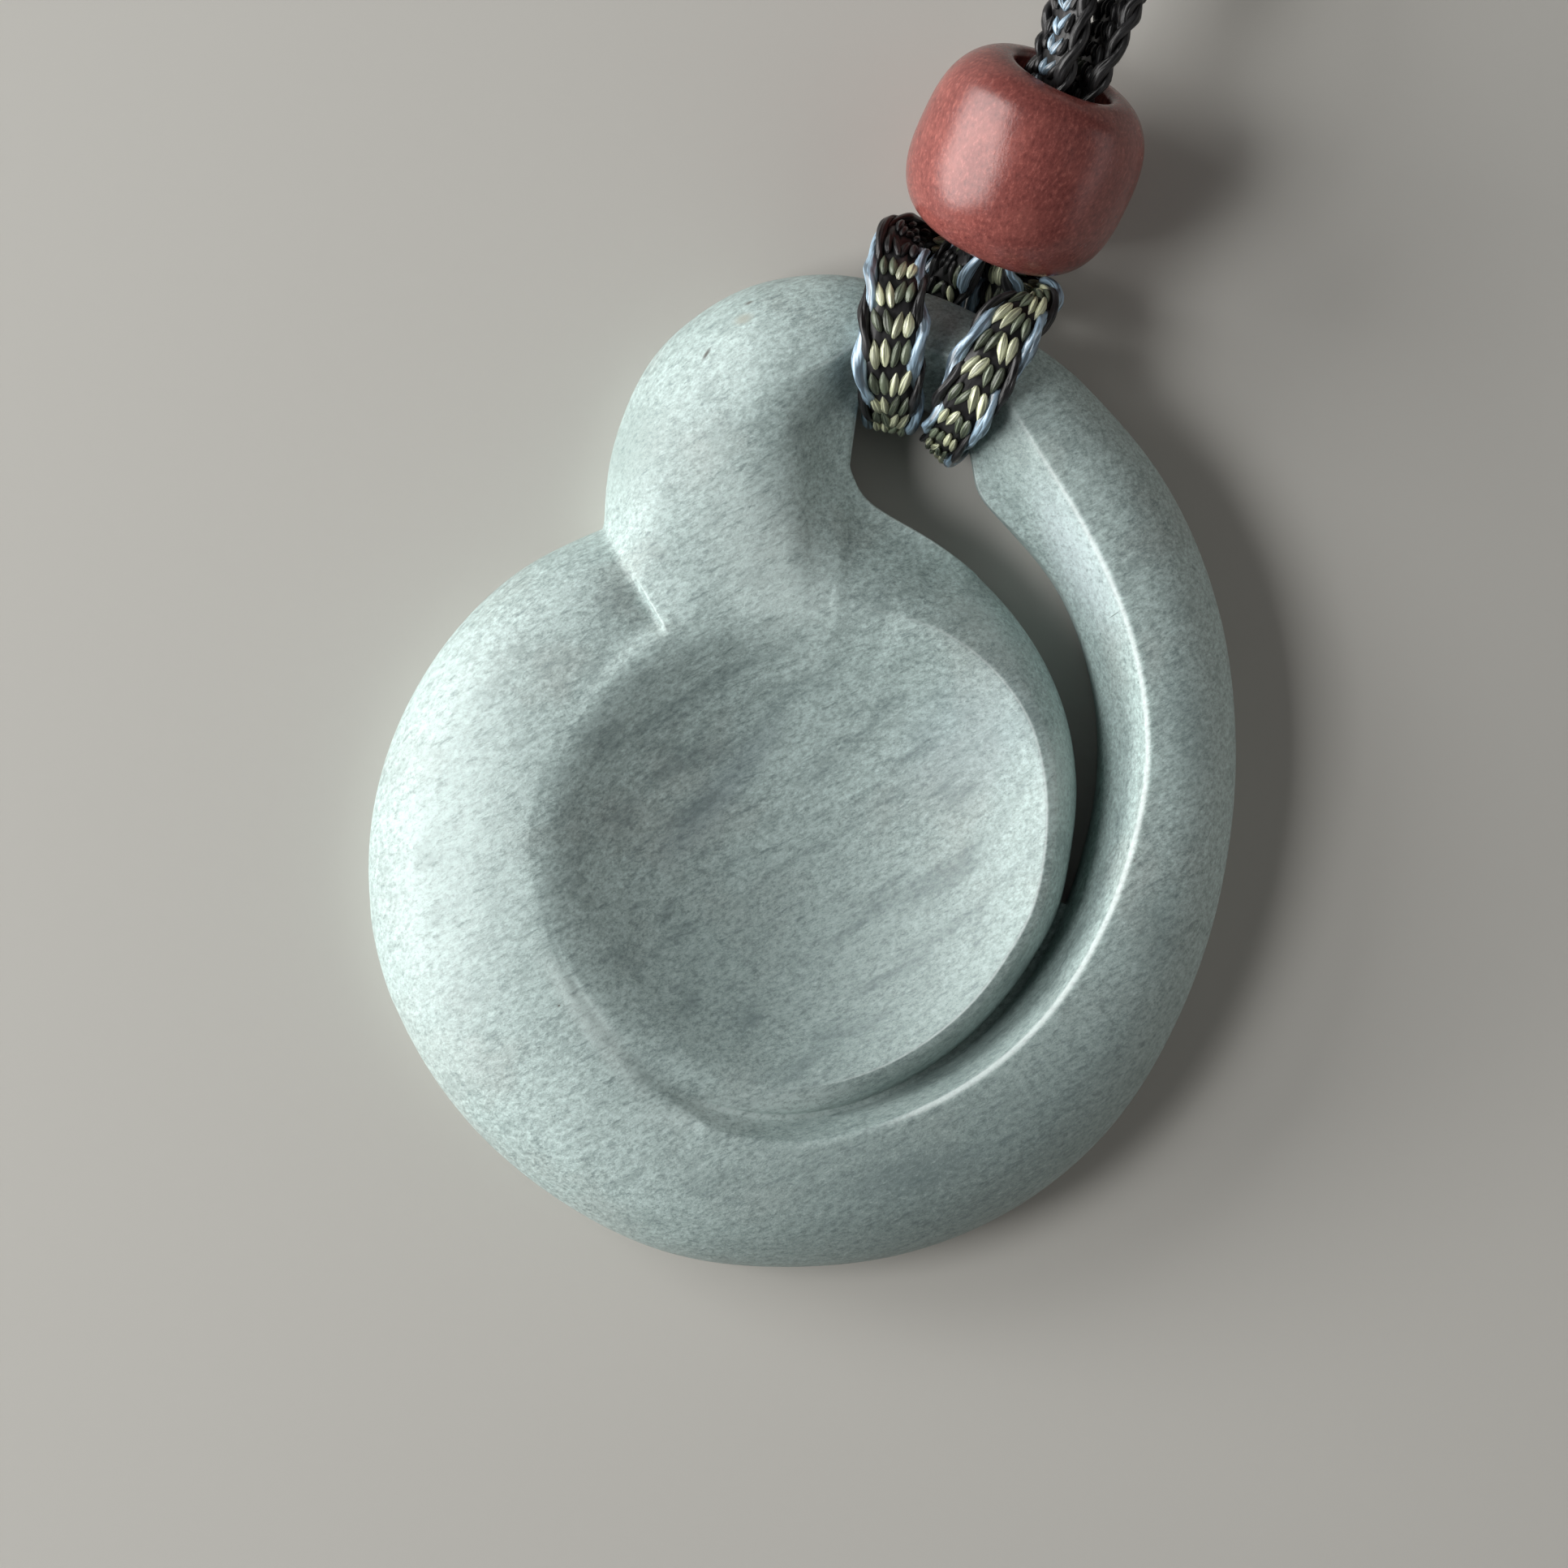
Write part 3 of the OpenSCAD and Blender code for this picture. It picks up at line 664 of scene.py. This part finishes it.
class Weave:
    """Collects closed shapes on the flat band, and lays them on its route as one mesh."""

    def __init__(self, path):
        self.path = path
        self.points, self.faces, self.uvs, self.tones, self.looks = [], [], [], [], []
        self.count = 0

    def put(self, points, faces, uvs, look, tone):
        """points are along, across and through in millimetres; uvs has a pair for each face corner.

        look is the material's place, for all the faces or as a list.
        """
        self.points.append(points)
        self.faces.extend([tuple(i + self.count for i in face) for face in faces])
        looks = look if isinstance(look, list) else [look] * len(faces)
        self.uvs.append(uvs)
        self.tones.append(np.full(len(points), tone))
        self.looks.extend(looks)
        self.count += len(points)

    def piece(self, name, materials, node):
        mesh = bpy.data.meshes.new(name)
        mesh.from_pydata(self.path.lay(np.vstack(self.points)).tolist(), [], self.faces)
        layer = mesh.uv_layers.new(name="UVMap")
        layer.data.foreach_set("uv", np.vstack(self.uvs).astype(np.float32).ravel())
        tones = mesh.attributes.new("tone", "FLOAT", "POINT")
        tones.data.foreach_set("value", np.concatenate(self.tones).astype(np.float32))
        mesh.polygons.foreach_set("material_index", np.array(self.looks, np.int32))
        mesh.polygons.foreach_set("use_smooth", np.ones(len(self.faces), bool))
        mesh.update()
        piece = bpy.data.objects.new(name, mesh)
        bpy.context.scene.collection.objects.link(piece)
        finish_piece(piece, name, node, materials)
        return piece


# A stitch's sides and rings where it is seen closely and elsewhere, and how much narrower it gets
# towards its point and towards both ends
FINE_STITCH = (8, 7)
COARSE_STITCH = (6, 6)
STITCH_POINT = 0.55
STITCH_TAPER = 0.15


def stitch_shape(sides, rings):
    """One plump stitch, modelled lying along X: its points, faces and a UV pair for each corner."""
    start_new()
    bpy.ops.mesh.primitive_uv_sphere_add(
        segments=sides, ring_count=rings, radius=1, rotation=(0, math.pi / 2, 0)
    )
    stitch = bpy.context.object
    apply_place(stitch)
    mesh = stitch.data
    for vertex in mesh.vertices:
        # blunt at one end, and drawn to a point at the other
        swell = 1 - STITCH_POINT * max(vertex.co.x, 0) - STITCH_TAPER * vertex.co.x**2
        vertex.co.y *= swell
        vertex.co.z *= swell
    points = np.array([v.co for v in mesh.vertices])
    faces = [tuple(p.vertices) for p in mesh.polygons]
    uvs = np.array([d.uv for d in mesh.uv_layers.active.data])
    bpy.data.objects.remove(stitch)
    bpy.data.meshes.remove(mesh)
    return points, faces, uvs


# The places of the threads' materials on the stitches and on the edges
CREAM, OLIVE, BLACK, BLUE = range(4)
ALL_BLACK = (BLACK,) * 4
BLUE_EDGE, BLACK_EDGE = range(2)

# A stitch's half length as a share of its row, its half width and its column's place as shares of
# the band's half width, its half height, how far its middle is under the band's face, and its
# slant in degrees
STITCH_LENGTH = 0.47
STITCH_WIDTH = 0.165
STITCH_COLUMNS = (-0.44, -0.15, 0.15, 0.44)
STITCH_HEIGHT_MM = 0.27
STITCH_DEPTH_MM = 0.33
STITCH_SLANT = 11
# How much smaller and larger it may be along, across and through the band, how far it may be
# moved that way, and the shares of the slant that it may have
STITCH_GROWTH = ((0.14, 0.06), (0.14, 0.12), (0.1, 0.1))
STITCH_SHIFT_MM = ((-0.1, 0.1), (-0.03, 0.03), (-0.05, 0.03))
SLANT_SHARES = (0.2, 1.8)
# How much each stitch rises towards its blunt end, and how far back a bright one lies
STITCH_RISE = 0.12
BRIGHT_BACK_MM = 0.06
CREAM_GROWTH = 1.05
BLUE_SLANT = 2.2

# The twisted strands at the band's edge, in shares of its half width and its half thickness: the
# radii of each, the distance that they go round at, and how far their centres stay from the edge
BLUE_STRAND = (0.185, 0.45)
BLACK_STRAND = (0.145, 0.38)
STRAND_ORBIT = (0.1, 0.42)
STRAND_INSET = 0.155
# The upper edge's twist is this much ahead, and each strand has two lobes, turned along it
TWIST_AHEAD = 0.9
STRAND_LOBES = 2
LOBE_TURN = 2.6
LOBE_DEPTH = 0.22
STRAND_TONE = 0.6

# The dark ground's radii, in the same shares
CORE = (0.72, 0.48)
CORE_SIDES = 12
CORE_TONE = 0.3


def half_sizes(band):
    """Half the band's width and half its thickness, in millimetres."""
    return band.width / MM / 2, band.thickness / MM / 2


def add_stitches(weave, band, shape, faces_of_band, part, row, stretches=(), seed=3):
    """Rows of four slanted stitches on the band's faces, a bright pair and a dull pair in turn.

    part is the start and end of the part of the path that gets them, and row the length of a row.
    stretches has the start and end of each stretch with colours of its own, the colours of its four
    columns, and the share of its stitches that have them.
    """
    draw = random.Random(seed)
    points, faces, uvs = shape
    half, depth = half_sizes(band)
    columns = [share * half for share in STITCH_COLUMNS]
    size = np.array([STITCH_LENGTH * row, STITCH_WIDTH * half, STITCH_HEIGHT_MM])
    slant = math.tan(math.radians(STITCH_SLANT))
    height = depth - STITCH_DEPTH_MM
    for face in faces_of_band:
        turned = faces if face > 0 else [f[::-1] for f in faces]
        corners = uvs if face > 0 else flip_corners(uvs, faces)
        for r in range(int((part[1] - part[0]) / row)):
            middle = part[0] + (r + 0.5) * row
            for c, column in enumerate(columns):
                left = column < 0
                bright = left == (r % 2 == 0)
                look = CREAM if bright else OLIVE
                for start, end, own, share in stretches:
                    if start <= middle < end and draw.random() < share:
                        look = own[c]
                grow = [1 + draw.uniform(-low, high) for low, high in STITCH_GROWTH]
                p = points * size * grow * (CREAM_GROWTH if look == CREAM else 1)
                lean = slant * (-1 if left else 1) * draw.uniform(*SLANT_SHARES)
                if look == BLUE:
                    lean *= BLUE_SLANT
                along, across, through = (draw.uniform(*limits) for limits in STITCH_SHIFT_MM)
                if bright:
                    along -= BRIGHT_BACK_MM
                laid = np.stack(
                    [
                        middle + p[:, 0] + along,
                        column + p[:, 1] + lean * p[:, 0] + across,
                        face * (height + p[:, 2] - STITCH_RISE * p[:, 0] + through),
                    ],
                    axis=1,
                )
                weave.put(laid, turned, corners, look, draw.random())


def flip_corners(uvs, faces):
    """The UV pairs in the order that reversed faces need."""
    out, start = [], 0
    for f in faces:
        out.append(uvs[start : start + len(f)][::-1])
        start += len(f)
    return np.vstack(out)


def tube(centres, radii, sides, lobes=0, lobe_turn=0.0, lobe_depth=0.0):
    """A closed tube along the flat band, its rings square to it: points, faces and UV pairs."""
    rings = len(centres)
    angle = np.arange(sides) / sides * 2 * math.pi
    swell = 1 + lobe_depth * np.cos(lobes * angle[None, :] + lobe_turn * centres[:, :1])
    across = centres[:, 1:2] + radii[0] * swell * np.cos(angle)[None, :]
    through = centres[:, 2:3] + radii[1] * swell * np.sin(angle)[None, :]
    along = np.repeat(centres[:, :1], sides, axis=1)
    points = np.stack([along, across, through], axis=2).reshape(-1, 3)
    faces, uvs = [], []
    for i in range(rings - 1):
        low, high = centres[i, 0], centres[i + 1, 0]
        near, far = i * sides, (i + 1) * sides
        for j in range(sides):
            k = (j + 1) % sides
            left, right = j / sides, (j + 1) / sides
            faces.append((near + k, far + k, far + j, near + j))
            uvs += [(right, low), (right, high), (left, high), (left, low)]
    faces.append(tuple(range(sides)))
    faces.append(tuple((rings - 1) * sides + j for j in range(sides))[::-1])
    uvs += [(0, 0)] * sides * 2
    return points, faces, np.array(uvs)


def add_edges(weave, band, turn_mm, step_mm, sides, edges, dark_stretches=()):
    """At each edge, a blue and a black strand twisted round each other.

    Both strands are black in dark_stretches.
    """
    half, depth = half_sizes(band)
    orbit = (STRAND_ORBIT[0] * half, STRAND_ORBIT[1] * depth)
    middle = half - STRAND_INSET * half - orbit[0]
    s = weave.path.stations(step_mm)
    is_dark = [any(low <= at < high for low, high in dark_stretches) for at in s[:-1]]
    strands = ((BLUE_EDGE, 0.0, BLUE_STRAND), (BLACK_EDGE, math.pi, BLACK_STRAND))
    for edge in edges:
        ahead = TWIST_AHEAD if edge > 0 else 0
        for look, phase, (wide, deep) in strands:
            turn = 2 * math.pi * s / turn_mm * edge + phase + ahead
            across = edge * middle + orbit[0] * np.cos(turn)
            centres = np.stack([s, across, orbit[1] * np.sin(turn)], axis=1)
            lobes = (STRAND_LOBES, -LOBE_TURN * edge, LOBE_DEPTH)
            strand = tube(centres, (wide * half, deep * depth), sides, *lobes)
            looks = [BLACK_EDGE if dark else look for dark in is_dark for _ in range(sides)]
            weave.put(*strand, looks + [look] * 2, STRAND_TONE)


def add_core(weave, band, step_mm):
    """The dark ground that shows between the stitches."""
    half, depth = half_sizes(band)
    s = weave.path.stations(step_mm)
    centres = np.stack([s, 0 * s, 0 * s], axis=1)
    radii = (CORE[0] * half, CORE[1] * depth)
    weave.put(*tube(centres, radii, CORE_SIDES), 0, CORE_TONE)


# How glossy each thread is
THREAD_GLOSS = {"cream": 0.8, "olive": 0.5, "blue": 1.0, "black": 0.3}


def threads_of_scene(band):
    """The cream, olive, blue and black thread materials, made once."""
    threads = []
    for name, gloss in THREAD_GLOSS.items():
        made = bpy.data.materials.get(f"{name}_thread")
        threads.append(made or thread_finish(f"{name}_thread", getattr(band, name), band, gloss))
    return threads


# ---- operators


class PENDANT_OT_stage(bpy.types.Operator):
    """Makes the plain surface, the soft lights and the camera above the pendant"""

    bl_idname = "pendant.stage"
    bl_label = "Stage"

    DAY = (1.0, 0.99, 0.975)
    COOL = (0.98, 0.99, 1.0)
    WARM = (1.0, 0.96, 0.93)
    SKY = (0.93, 0.96, 1.0, 1)

    # name, heading and rise in degrees, distance, size, tint and which power it has
    SOFT_LIGHTS = (
        ("window_low", 180, 8, 0.6, (0.44, 0.2), DAY, "low_watts"),
        ("window_mid", 155, 26, 0.45, (0.21, 0.15), COOL, "mid_watts"),
        ("window_high", 184, 48, 0.45, (0.21, 0.15), COOL, "high_watts"),
        ("far_wall", 0, 30, 0.45, (0.45, 0.45), WARM, "fill_watts"),
    )
    # what polished faces see instead: one tall window, and a dim wall across from it
    REFLECTIONS = (
        ("window_pane", 166, 31, 0.6, (1.0, 0.66), DAY, "pane_watts"),
        ("wall_pane", -10, 12, 0.6, (0.8, 0.24), DAY, "wall_watts"),
    )

    def execute(self, context):
        look = context.scene.pendant_stage
        self.make_floor(look)
        self.make_camera(context, look)
        self.make_lights(context, look)
        context.scene.view_settings.view_transform = "Standard"
        return {"FINISHED"}

    def make_floor(self, look):
        start_new()
        bpy.ops.mesh.primitive_plane_add(size=SURFACE_SIDE, location=(0, 0, -SURFACE_DROP))
        floor = bpy.context.object
        apply_place(floor)
        floor.name = "surface"
        floor.data.materials.append(floor_finish(look))

    def make_camera(self, context, look):
        camera = bpy.data.objects.new("camera", bpy.data.cameras.new("camera"))
        context.scene.collection.objects.link(camera)
        x, y = PHOTO_MIDDLE_MM
        camera.location = (x * MM, y * MM, look.camera_height)
        distance_mm = look.camera_height / MM - PHOTO_LEVEL_MM
        camera.data.sensor_width = SENSOR_MM
        camera.data.lens = SENSOR_MM * distance_mm / PHOTO_SIDE_MM
        camera.data.clip_start = 0.01
        context.scene.camera = camera

    def make_lights(self, context, look):
        for *row, power in self.SOFT_LIGHTS:
            self.area(context, *row, getattr(look, power)).visible_glossy = False
        for *row, power in self.REFLECTIONS:
            self.area(context, *row, getattr(look, power)).visible_diffuse = False
        world = bpy.data.worlds.new("room")
        world.use_nodes = True
        sky = world.node_tree.nodes["Background"].inputs
        sky["Color"].default_value = self.SKY
        sky["Strength"].default_value = look.sky
        context.scene.world = world

    def area(self, context, name, heading, rise, distance, size, tint, watts):
        """An area light that shines at the pendant from a heading and a rise, in degrees."""
        lamp = bpy.data.lights.new(name, "AREA")
        lamp.shape = "RECTANGLE"
        lamp.size, lamp.size_y = size
        lamp.energy = watts
        lamp.color = tint
        light = bpy.data.objects.new(name, lamp)
        away = direction(heading, rise)
        light.location = away * distance + Vector((0, 0, LIGHT_AIM))
        light.rotation_euler = away.to_track_quat("Z", "Y").to_euler()
        light.visible_camera = False
        context.scene.collection.objects.link(light)
        return light


class PENDANT_OT_jade_carving(bpy.types.Operator):
    """Smooths the carving, keeps its rim and crest crisp, and gives it its stone"""

    bl_idname = "pendant.jade_carving"
    bl_label = "Jade carving"

    # two triangles that face and fit each other this well become a quad, in degrees
    QUAD_FACING = 60
    QUAD_SHAPE = 80
    # the oval where the rim is soft: x, y, length and width, all in millimetres, and turn in
    # degrees, how high it is, and the shares of the oval that are smoothed in turn
    SOFT_RIM_MM = (-10.8, -7.2, 20, 6, 122)
    SOFT_RIM_FROM = 0.002
    SOFT_RIM_SHARES = (1, 0.85, 0.7, 0.55)
    SOFT_RIM_REPEATS = 30

    def execute(self, context):
        look = context.scene.pendant_jade
        carving = copy_of_node("jade_carving")
        bpy.ops.object.mode_set(mode="EDIT")
        bpy.ops.mesh.select_all(action="SELECT")
        facing, shape = math.radians(self.QUAD_FACING), math.radians(self.QUAD_SHAPE)
        bpy.ops.mesh.tris_convert_to_quads(face_threshold=facing, shape_threshold=shape)
        bpy.ops.mesh.select_all(action="DESELECT")
        bpy.ops.mesh.select_mode(type="EDGE")
        bpy.ops.mesh.edges_select_sharp(sharpness=look.sharp)
        bpy.ops.transform.edge_crease(value=look.crease)
        bpy.ops.mesh.select_mode(type="VERT")
        bpy.ops.object.mode_set(mode="OBJECT")
        smoothing = carving.modifiers.new("smoothing", "SUBSURF")
        smoothing.levels = smoothing.render_levels = look.levels
        bpy.ops.object.modifier_apply(modifier=smoothing.name)
        bpy.ops.object.shade_smooth()
        self.soften_rim(carving)
        mark_crests(carving.data)
        finish_piece(carving, "jade_stone", "jade_carving", [jade_finish(look)])
        return {"FINISHED"}

    def soften_rim(self, carving):
        """Smooths the dish's rim at the lower left, where it runs out softly into the body."""
        x, y, along, across, turn = self.SOFT_RIM_MM
        c, s = math.cos(math.radians(turn)), math.sin(math.radians(turn))
        for share in self.SOFT_RIM_SHARES:
            bpy.ops.object.mode_set(mode="EDIT")
            bpy.ops.mesh.select_all(action="DESELECT")
            bpy.ops.object.mode_set(mode="OBJECT")
            for vertex in carving.data.vertices:
                u, v = vertex.co.x / MM - x, vertex.co.y / MM - y
                far = math.hypot((u * c + v * s) * 2 / along, (v * c - u * s) * 2 / across)
                vertex.select = far < share and vertex.co.z > self.SOFT_RIM_FROM
            bpy.ops.object.mode_set(mode="EDIT")
            bpy.ops.mesh.vertices_smooth(factor=0.5, repeat=self.SOFT_RIM_REPEATS)
        bpy.ops.mesh.select_all(action="DESELECT")
        bpy.ops.object.mode_set(mode="OBJECT")


class PENDANT_OT_red_bead(bpy.types.Operator):
    """Spins the bead's section round its axis and lays it in place"""

    bl_idname = "pendant.red_bead"
    bl_label = "Red bead"

    def execute(self, context):
        look = context.scene.pendant_bead
        outline = self.outline()
        start_new()
        bpy.ops.mesh.primitive_circle_add(vertices=len(outline), fill_type="NOTHING")
        bead = bpy.context.object
        for vertex, (radius, along) in zip(bead.data.vertices, outline):
            vertex.co = (radius * MM, 0, along * MM)
        bpy.ops.object.mode_set(mode="EDIT")
        bpy.ops.mesh.select_all(action="SELECT")
        bpy.ops.mesh.spin(steps=look.turns, angle=2 * math.pi, center=(0, 0, 0), axis=(0, 0, 1))
        bpy.ops.mesh.select_all(action="SELECT")
        bpy.ops.mesh.remove_doubles(threshold=1e-7)
        bpy.ops.mesh.normals_make_consistent(inside=False)
        bpy.ops.object.mode_set(mode="OBJECT")
        bpy.ops.object.shade_smooth()
        turned = Matrix.Rotation(math.radians(BEAD_HEADING), 4, "Z") @ Matrix.Rotation(
            math.radians(90 - BEAD_RISE), 4, "Y"
        )
        bead.matrix_world = Matrix.Translation(bead_centre()) @ turned
        apply_place(bead)
        finish_piece(bead, "agate_bead", "red_bead", [agate_finish(look)])
        return {"FINISHED"}

    def outline(self):
        """The section's points, as radius and place along the axis, in millimetres."""
        half, bore = BEAD_L_MM / 2, BORE_D_MM / 2
        lip = bore + BORE_ROUND_MM
        mouth = [math.radians(a) for a in range(0, 91, 15)]
        low = []
        for a in mouth:
            radius = lip - BORE_ROUND_MM * math.cos(a)
            low.append((radius, -half + BORE_ROUND_MM * (1 - math.sin(a))))
        barrel = []
        for degrees in range(-86, 87, 4):
            t = math.sin(math.radians(degrees))
            swell = (1 - abs(t) ** BARREL_MIDDLE) ** BARREL_END
            barrel.append((lip + (BEAD_D_MM / 2 - lip) * swell, t * half))
        high = [(radius, -along) for radius, along in reversed(low)]
        return low + barrel + high


class PENDANT_OT_hitch_band(bpy.types.Operator):
    """Weaves the hitch from its ground, its centre stitches and its twisted edges"""

    bl_idname = "pendant.hitch_band"
    bl_label = "Hitch band"

    CORE_STEP_MM = 0.3
    EDGE_STEP_MM = 0.16
    EDGE_SIDES = 12
    # painted shade: rows of the route between which stitches are black, where the band runs between
    # the bead and the bar and where it turns down behind the bar, with the share that are, and the
    # rows between which the edges are black too
    PAINTED_SHADE_STITCHES = ((0, 6, 0.5), (14, 17, 1), (-6, -1, 0.45))
    PAINTED_SHADE_EDGES = (15, 17)

    def execute(self, context):
        band = context.scene.pendant_band
        cream, olive, blue, black = threads_of_scene(band)
        path = BandPath(hitch_rows())
        core = Weave(path)
        add_core(core, band, self.CORE_STEP_MM)
        core.piece("hitch_ground", [black], "hitch_band")
        # the band's places at each row of its route
        at = path.at[:: path.STEPS]
        stretches = [(at[i], at[j], ALL_BLACK, share) for i, j, share in self.PAINTED_SHADE_STITCHES]
        whole = (0, path.length)
        shape = stitch_shape(*FINE_STITCH)
        stitches = Weave(path)
        add_stitches(stitches, band, shape, (1, -1), whole, band.row / MM, stretches)
        stitches.piece("hitch_stitches", [cream, olive, black], "hitch_band")
        # the edges where the band turns down behind the bar are painted black as shade
        dark = [tuple(at[row] for row in self.PAINTED_SHADE_EDGES)]
        twist = band.twist / MM
        edges = Weave(path)
        add_edges(edges, band, twist, self.EDGE_STEP_MM, self.EDGE_SIDES, (-1, 1), dark)
        edges.piece("hitch_edges", [blue, black], "hitch_band")
        return {"FINISHED"}


class PENDANT_OT_neck_band(bpy.types.Operator):
    """Weaves the neck loop in the same way, with lighter meshes"""

    bl_idname = "pendant.neck_band"
    bl_label = "Neck band"

    # the loop's two dark ends, the length of a row there, and the bright rows at the bead's mouth,
    # with the share of their stitches that are bright
    DARK_END_MM = 14
    CLOSE_ROW_MM = 1.15
    MOUTH_BEFORE_MM = 1.6
    MOUTH_AFTER_MM = 0.6
    MOUTH_SHARE = 0.7
    CORE_STEP_MM = 0.8
    EDGE_STEP_MM = 0.3
    EDGE_SIDES = 9

    def execute(self, context):
        band = context.scene.pendant_band
        cream, olive, blue, black = threads_of_scene(band)
        path = BandPath(neck_rows())
        core = Weave(path)
        add_core(core, band, self.CORE_STEP_MM)
        core.piece("neck_ground", [black], "neck_band")
        near, far = self.DARK_END_MM, path.length - self.DARK_END_MM
        ends = ((0, near), (far, path.length))
        mouth = path.length - BEAD_L_MM / 2
        bright = (mouth - self.MOUTH_BEFORE_MM, mouth + self.MOUTH_AFTER_MM)
        stretches = (
            (*ends[0], (BLACK, BLUE, BLUE, BLACK), 1),
            (*ends[1], ALL_BLACK, 1),
            (*bright, (OLIVE, OLIVE, CREAM, CREAM), self.MOUTH_SHARE),
        )
        stitches = Weave(path)
        fine = stitch_shape(*FINE_STITCH)
        for part in ends:
            add_stitches(stitches, band, fine, (1, -1), part, self.CLOSE_ROW_MM, stretches, seed=7)
        stitches.piece("neck_stitches_ends", [cream, olive, black, blue], "neck_band")
        coarse = stitch_shape(*COARSE_STITCH)
        for name, face in (("neck_stitches_out", 1), ("neck_stitches_in", -1)):
            stitches = Weave(path)
            add_stitches(stitches, band, coarse, (face,), (near, far), band.row / MM, seed=5)
            stitches.piece(name, [cream, olive, black], "neck_band")
        twist = band.neck_twist / MM
        for name, edge in (("neck_edge_low", -1), ("neck_edge_high", 1)):
            edges = Weave(path)
            add_edges(edges, band, twist, self.EDGE_STEP_MM, self.EDGE_SIDES, (edge,), ends)
            edges.piece(name, [blue, black], "neck_band")
        return {"FINISHED"}


class PENDANT_PT_panel(bpy.types.Panel):
    """Lists the pendant's pieces and what can be changed on them"""

    bl_label = "Pendant"
    bl_idname = "PENDANT_PT_panel"
    bl_space_type = "VIEW_3D"
    bl_region_type = "UI"
    bl_category = "Pendant"

    def draw(self, context):
        for group, operators in PANEL_ROWS:
            box = self.layout.box()
            for operator in operators:
                box.operator(operator.bl_idname)
            settings = getattr(context.scene, group)
            for name in settings.__annotations__:
                box.prop(settings, name)


PANEL_ROWS = (
    ("pendant_stage", (PENDANT_OT_stage,)),
    ("pendant_jade", (PENDANT_OT_jade_carving,)),
    ("pendant_bead", (PENDANT_OT_red_bead,)),
    ("pendant_band", (PENDANT_OT_hitch_band, PENDANT_OT_neck_band)),
)

SETTINGS = {
    "pendant_stage": PendantStageSettings,
    "pendant_jade": PendantJadeSettings,
    "pendant_bead": PendantBeadSettings,
    "pendant_band": PendantBandSettings,
}

CLASSES = (
    *SETTINGS.values(),
    PENDANT_OT_stage,
    PENDANT_OT_jade_carving,
    PENDANT_OT_red_bead,
    PENDANT_OT_hitch_band,
    PENDANT_OT_neck_band,
    PENDANT_PT_panel,
)


def register():
    for cls in CLASSES:
        bpy.utils.register_class(cls)
    for name, group in SETTINGS.items():
        setattr(bpy.types.Scene, name, PointerProperty(type=group))


def unregister():
    for name in SETTINGS:
        delattr(bpy.types.Scene, name)
    for cls in reversed(CLASSES):
        bpy.utils.unregister_class(cls)


def main():
    register()
    bpy.ops.pendant.stage()
    bpy.ops.pendant.jade_carving()
    bpy.ops.pendant.red_bead()
    bpy.ops.pendant.hitch_band()
    bpy.ops.pendant.neck_band()


if __name__ == "__main__":
    main()
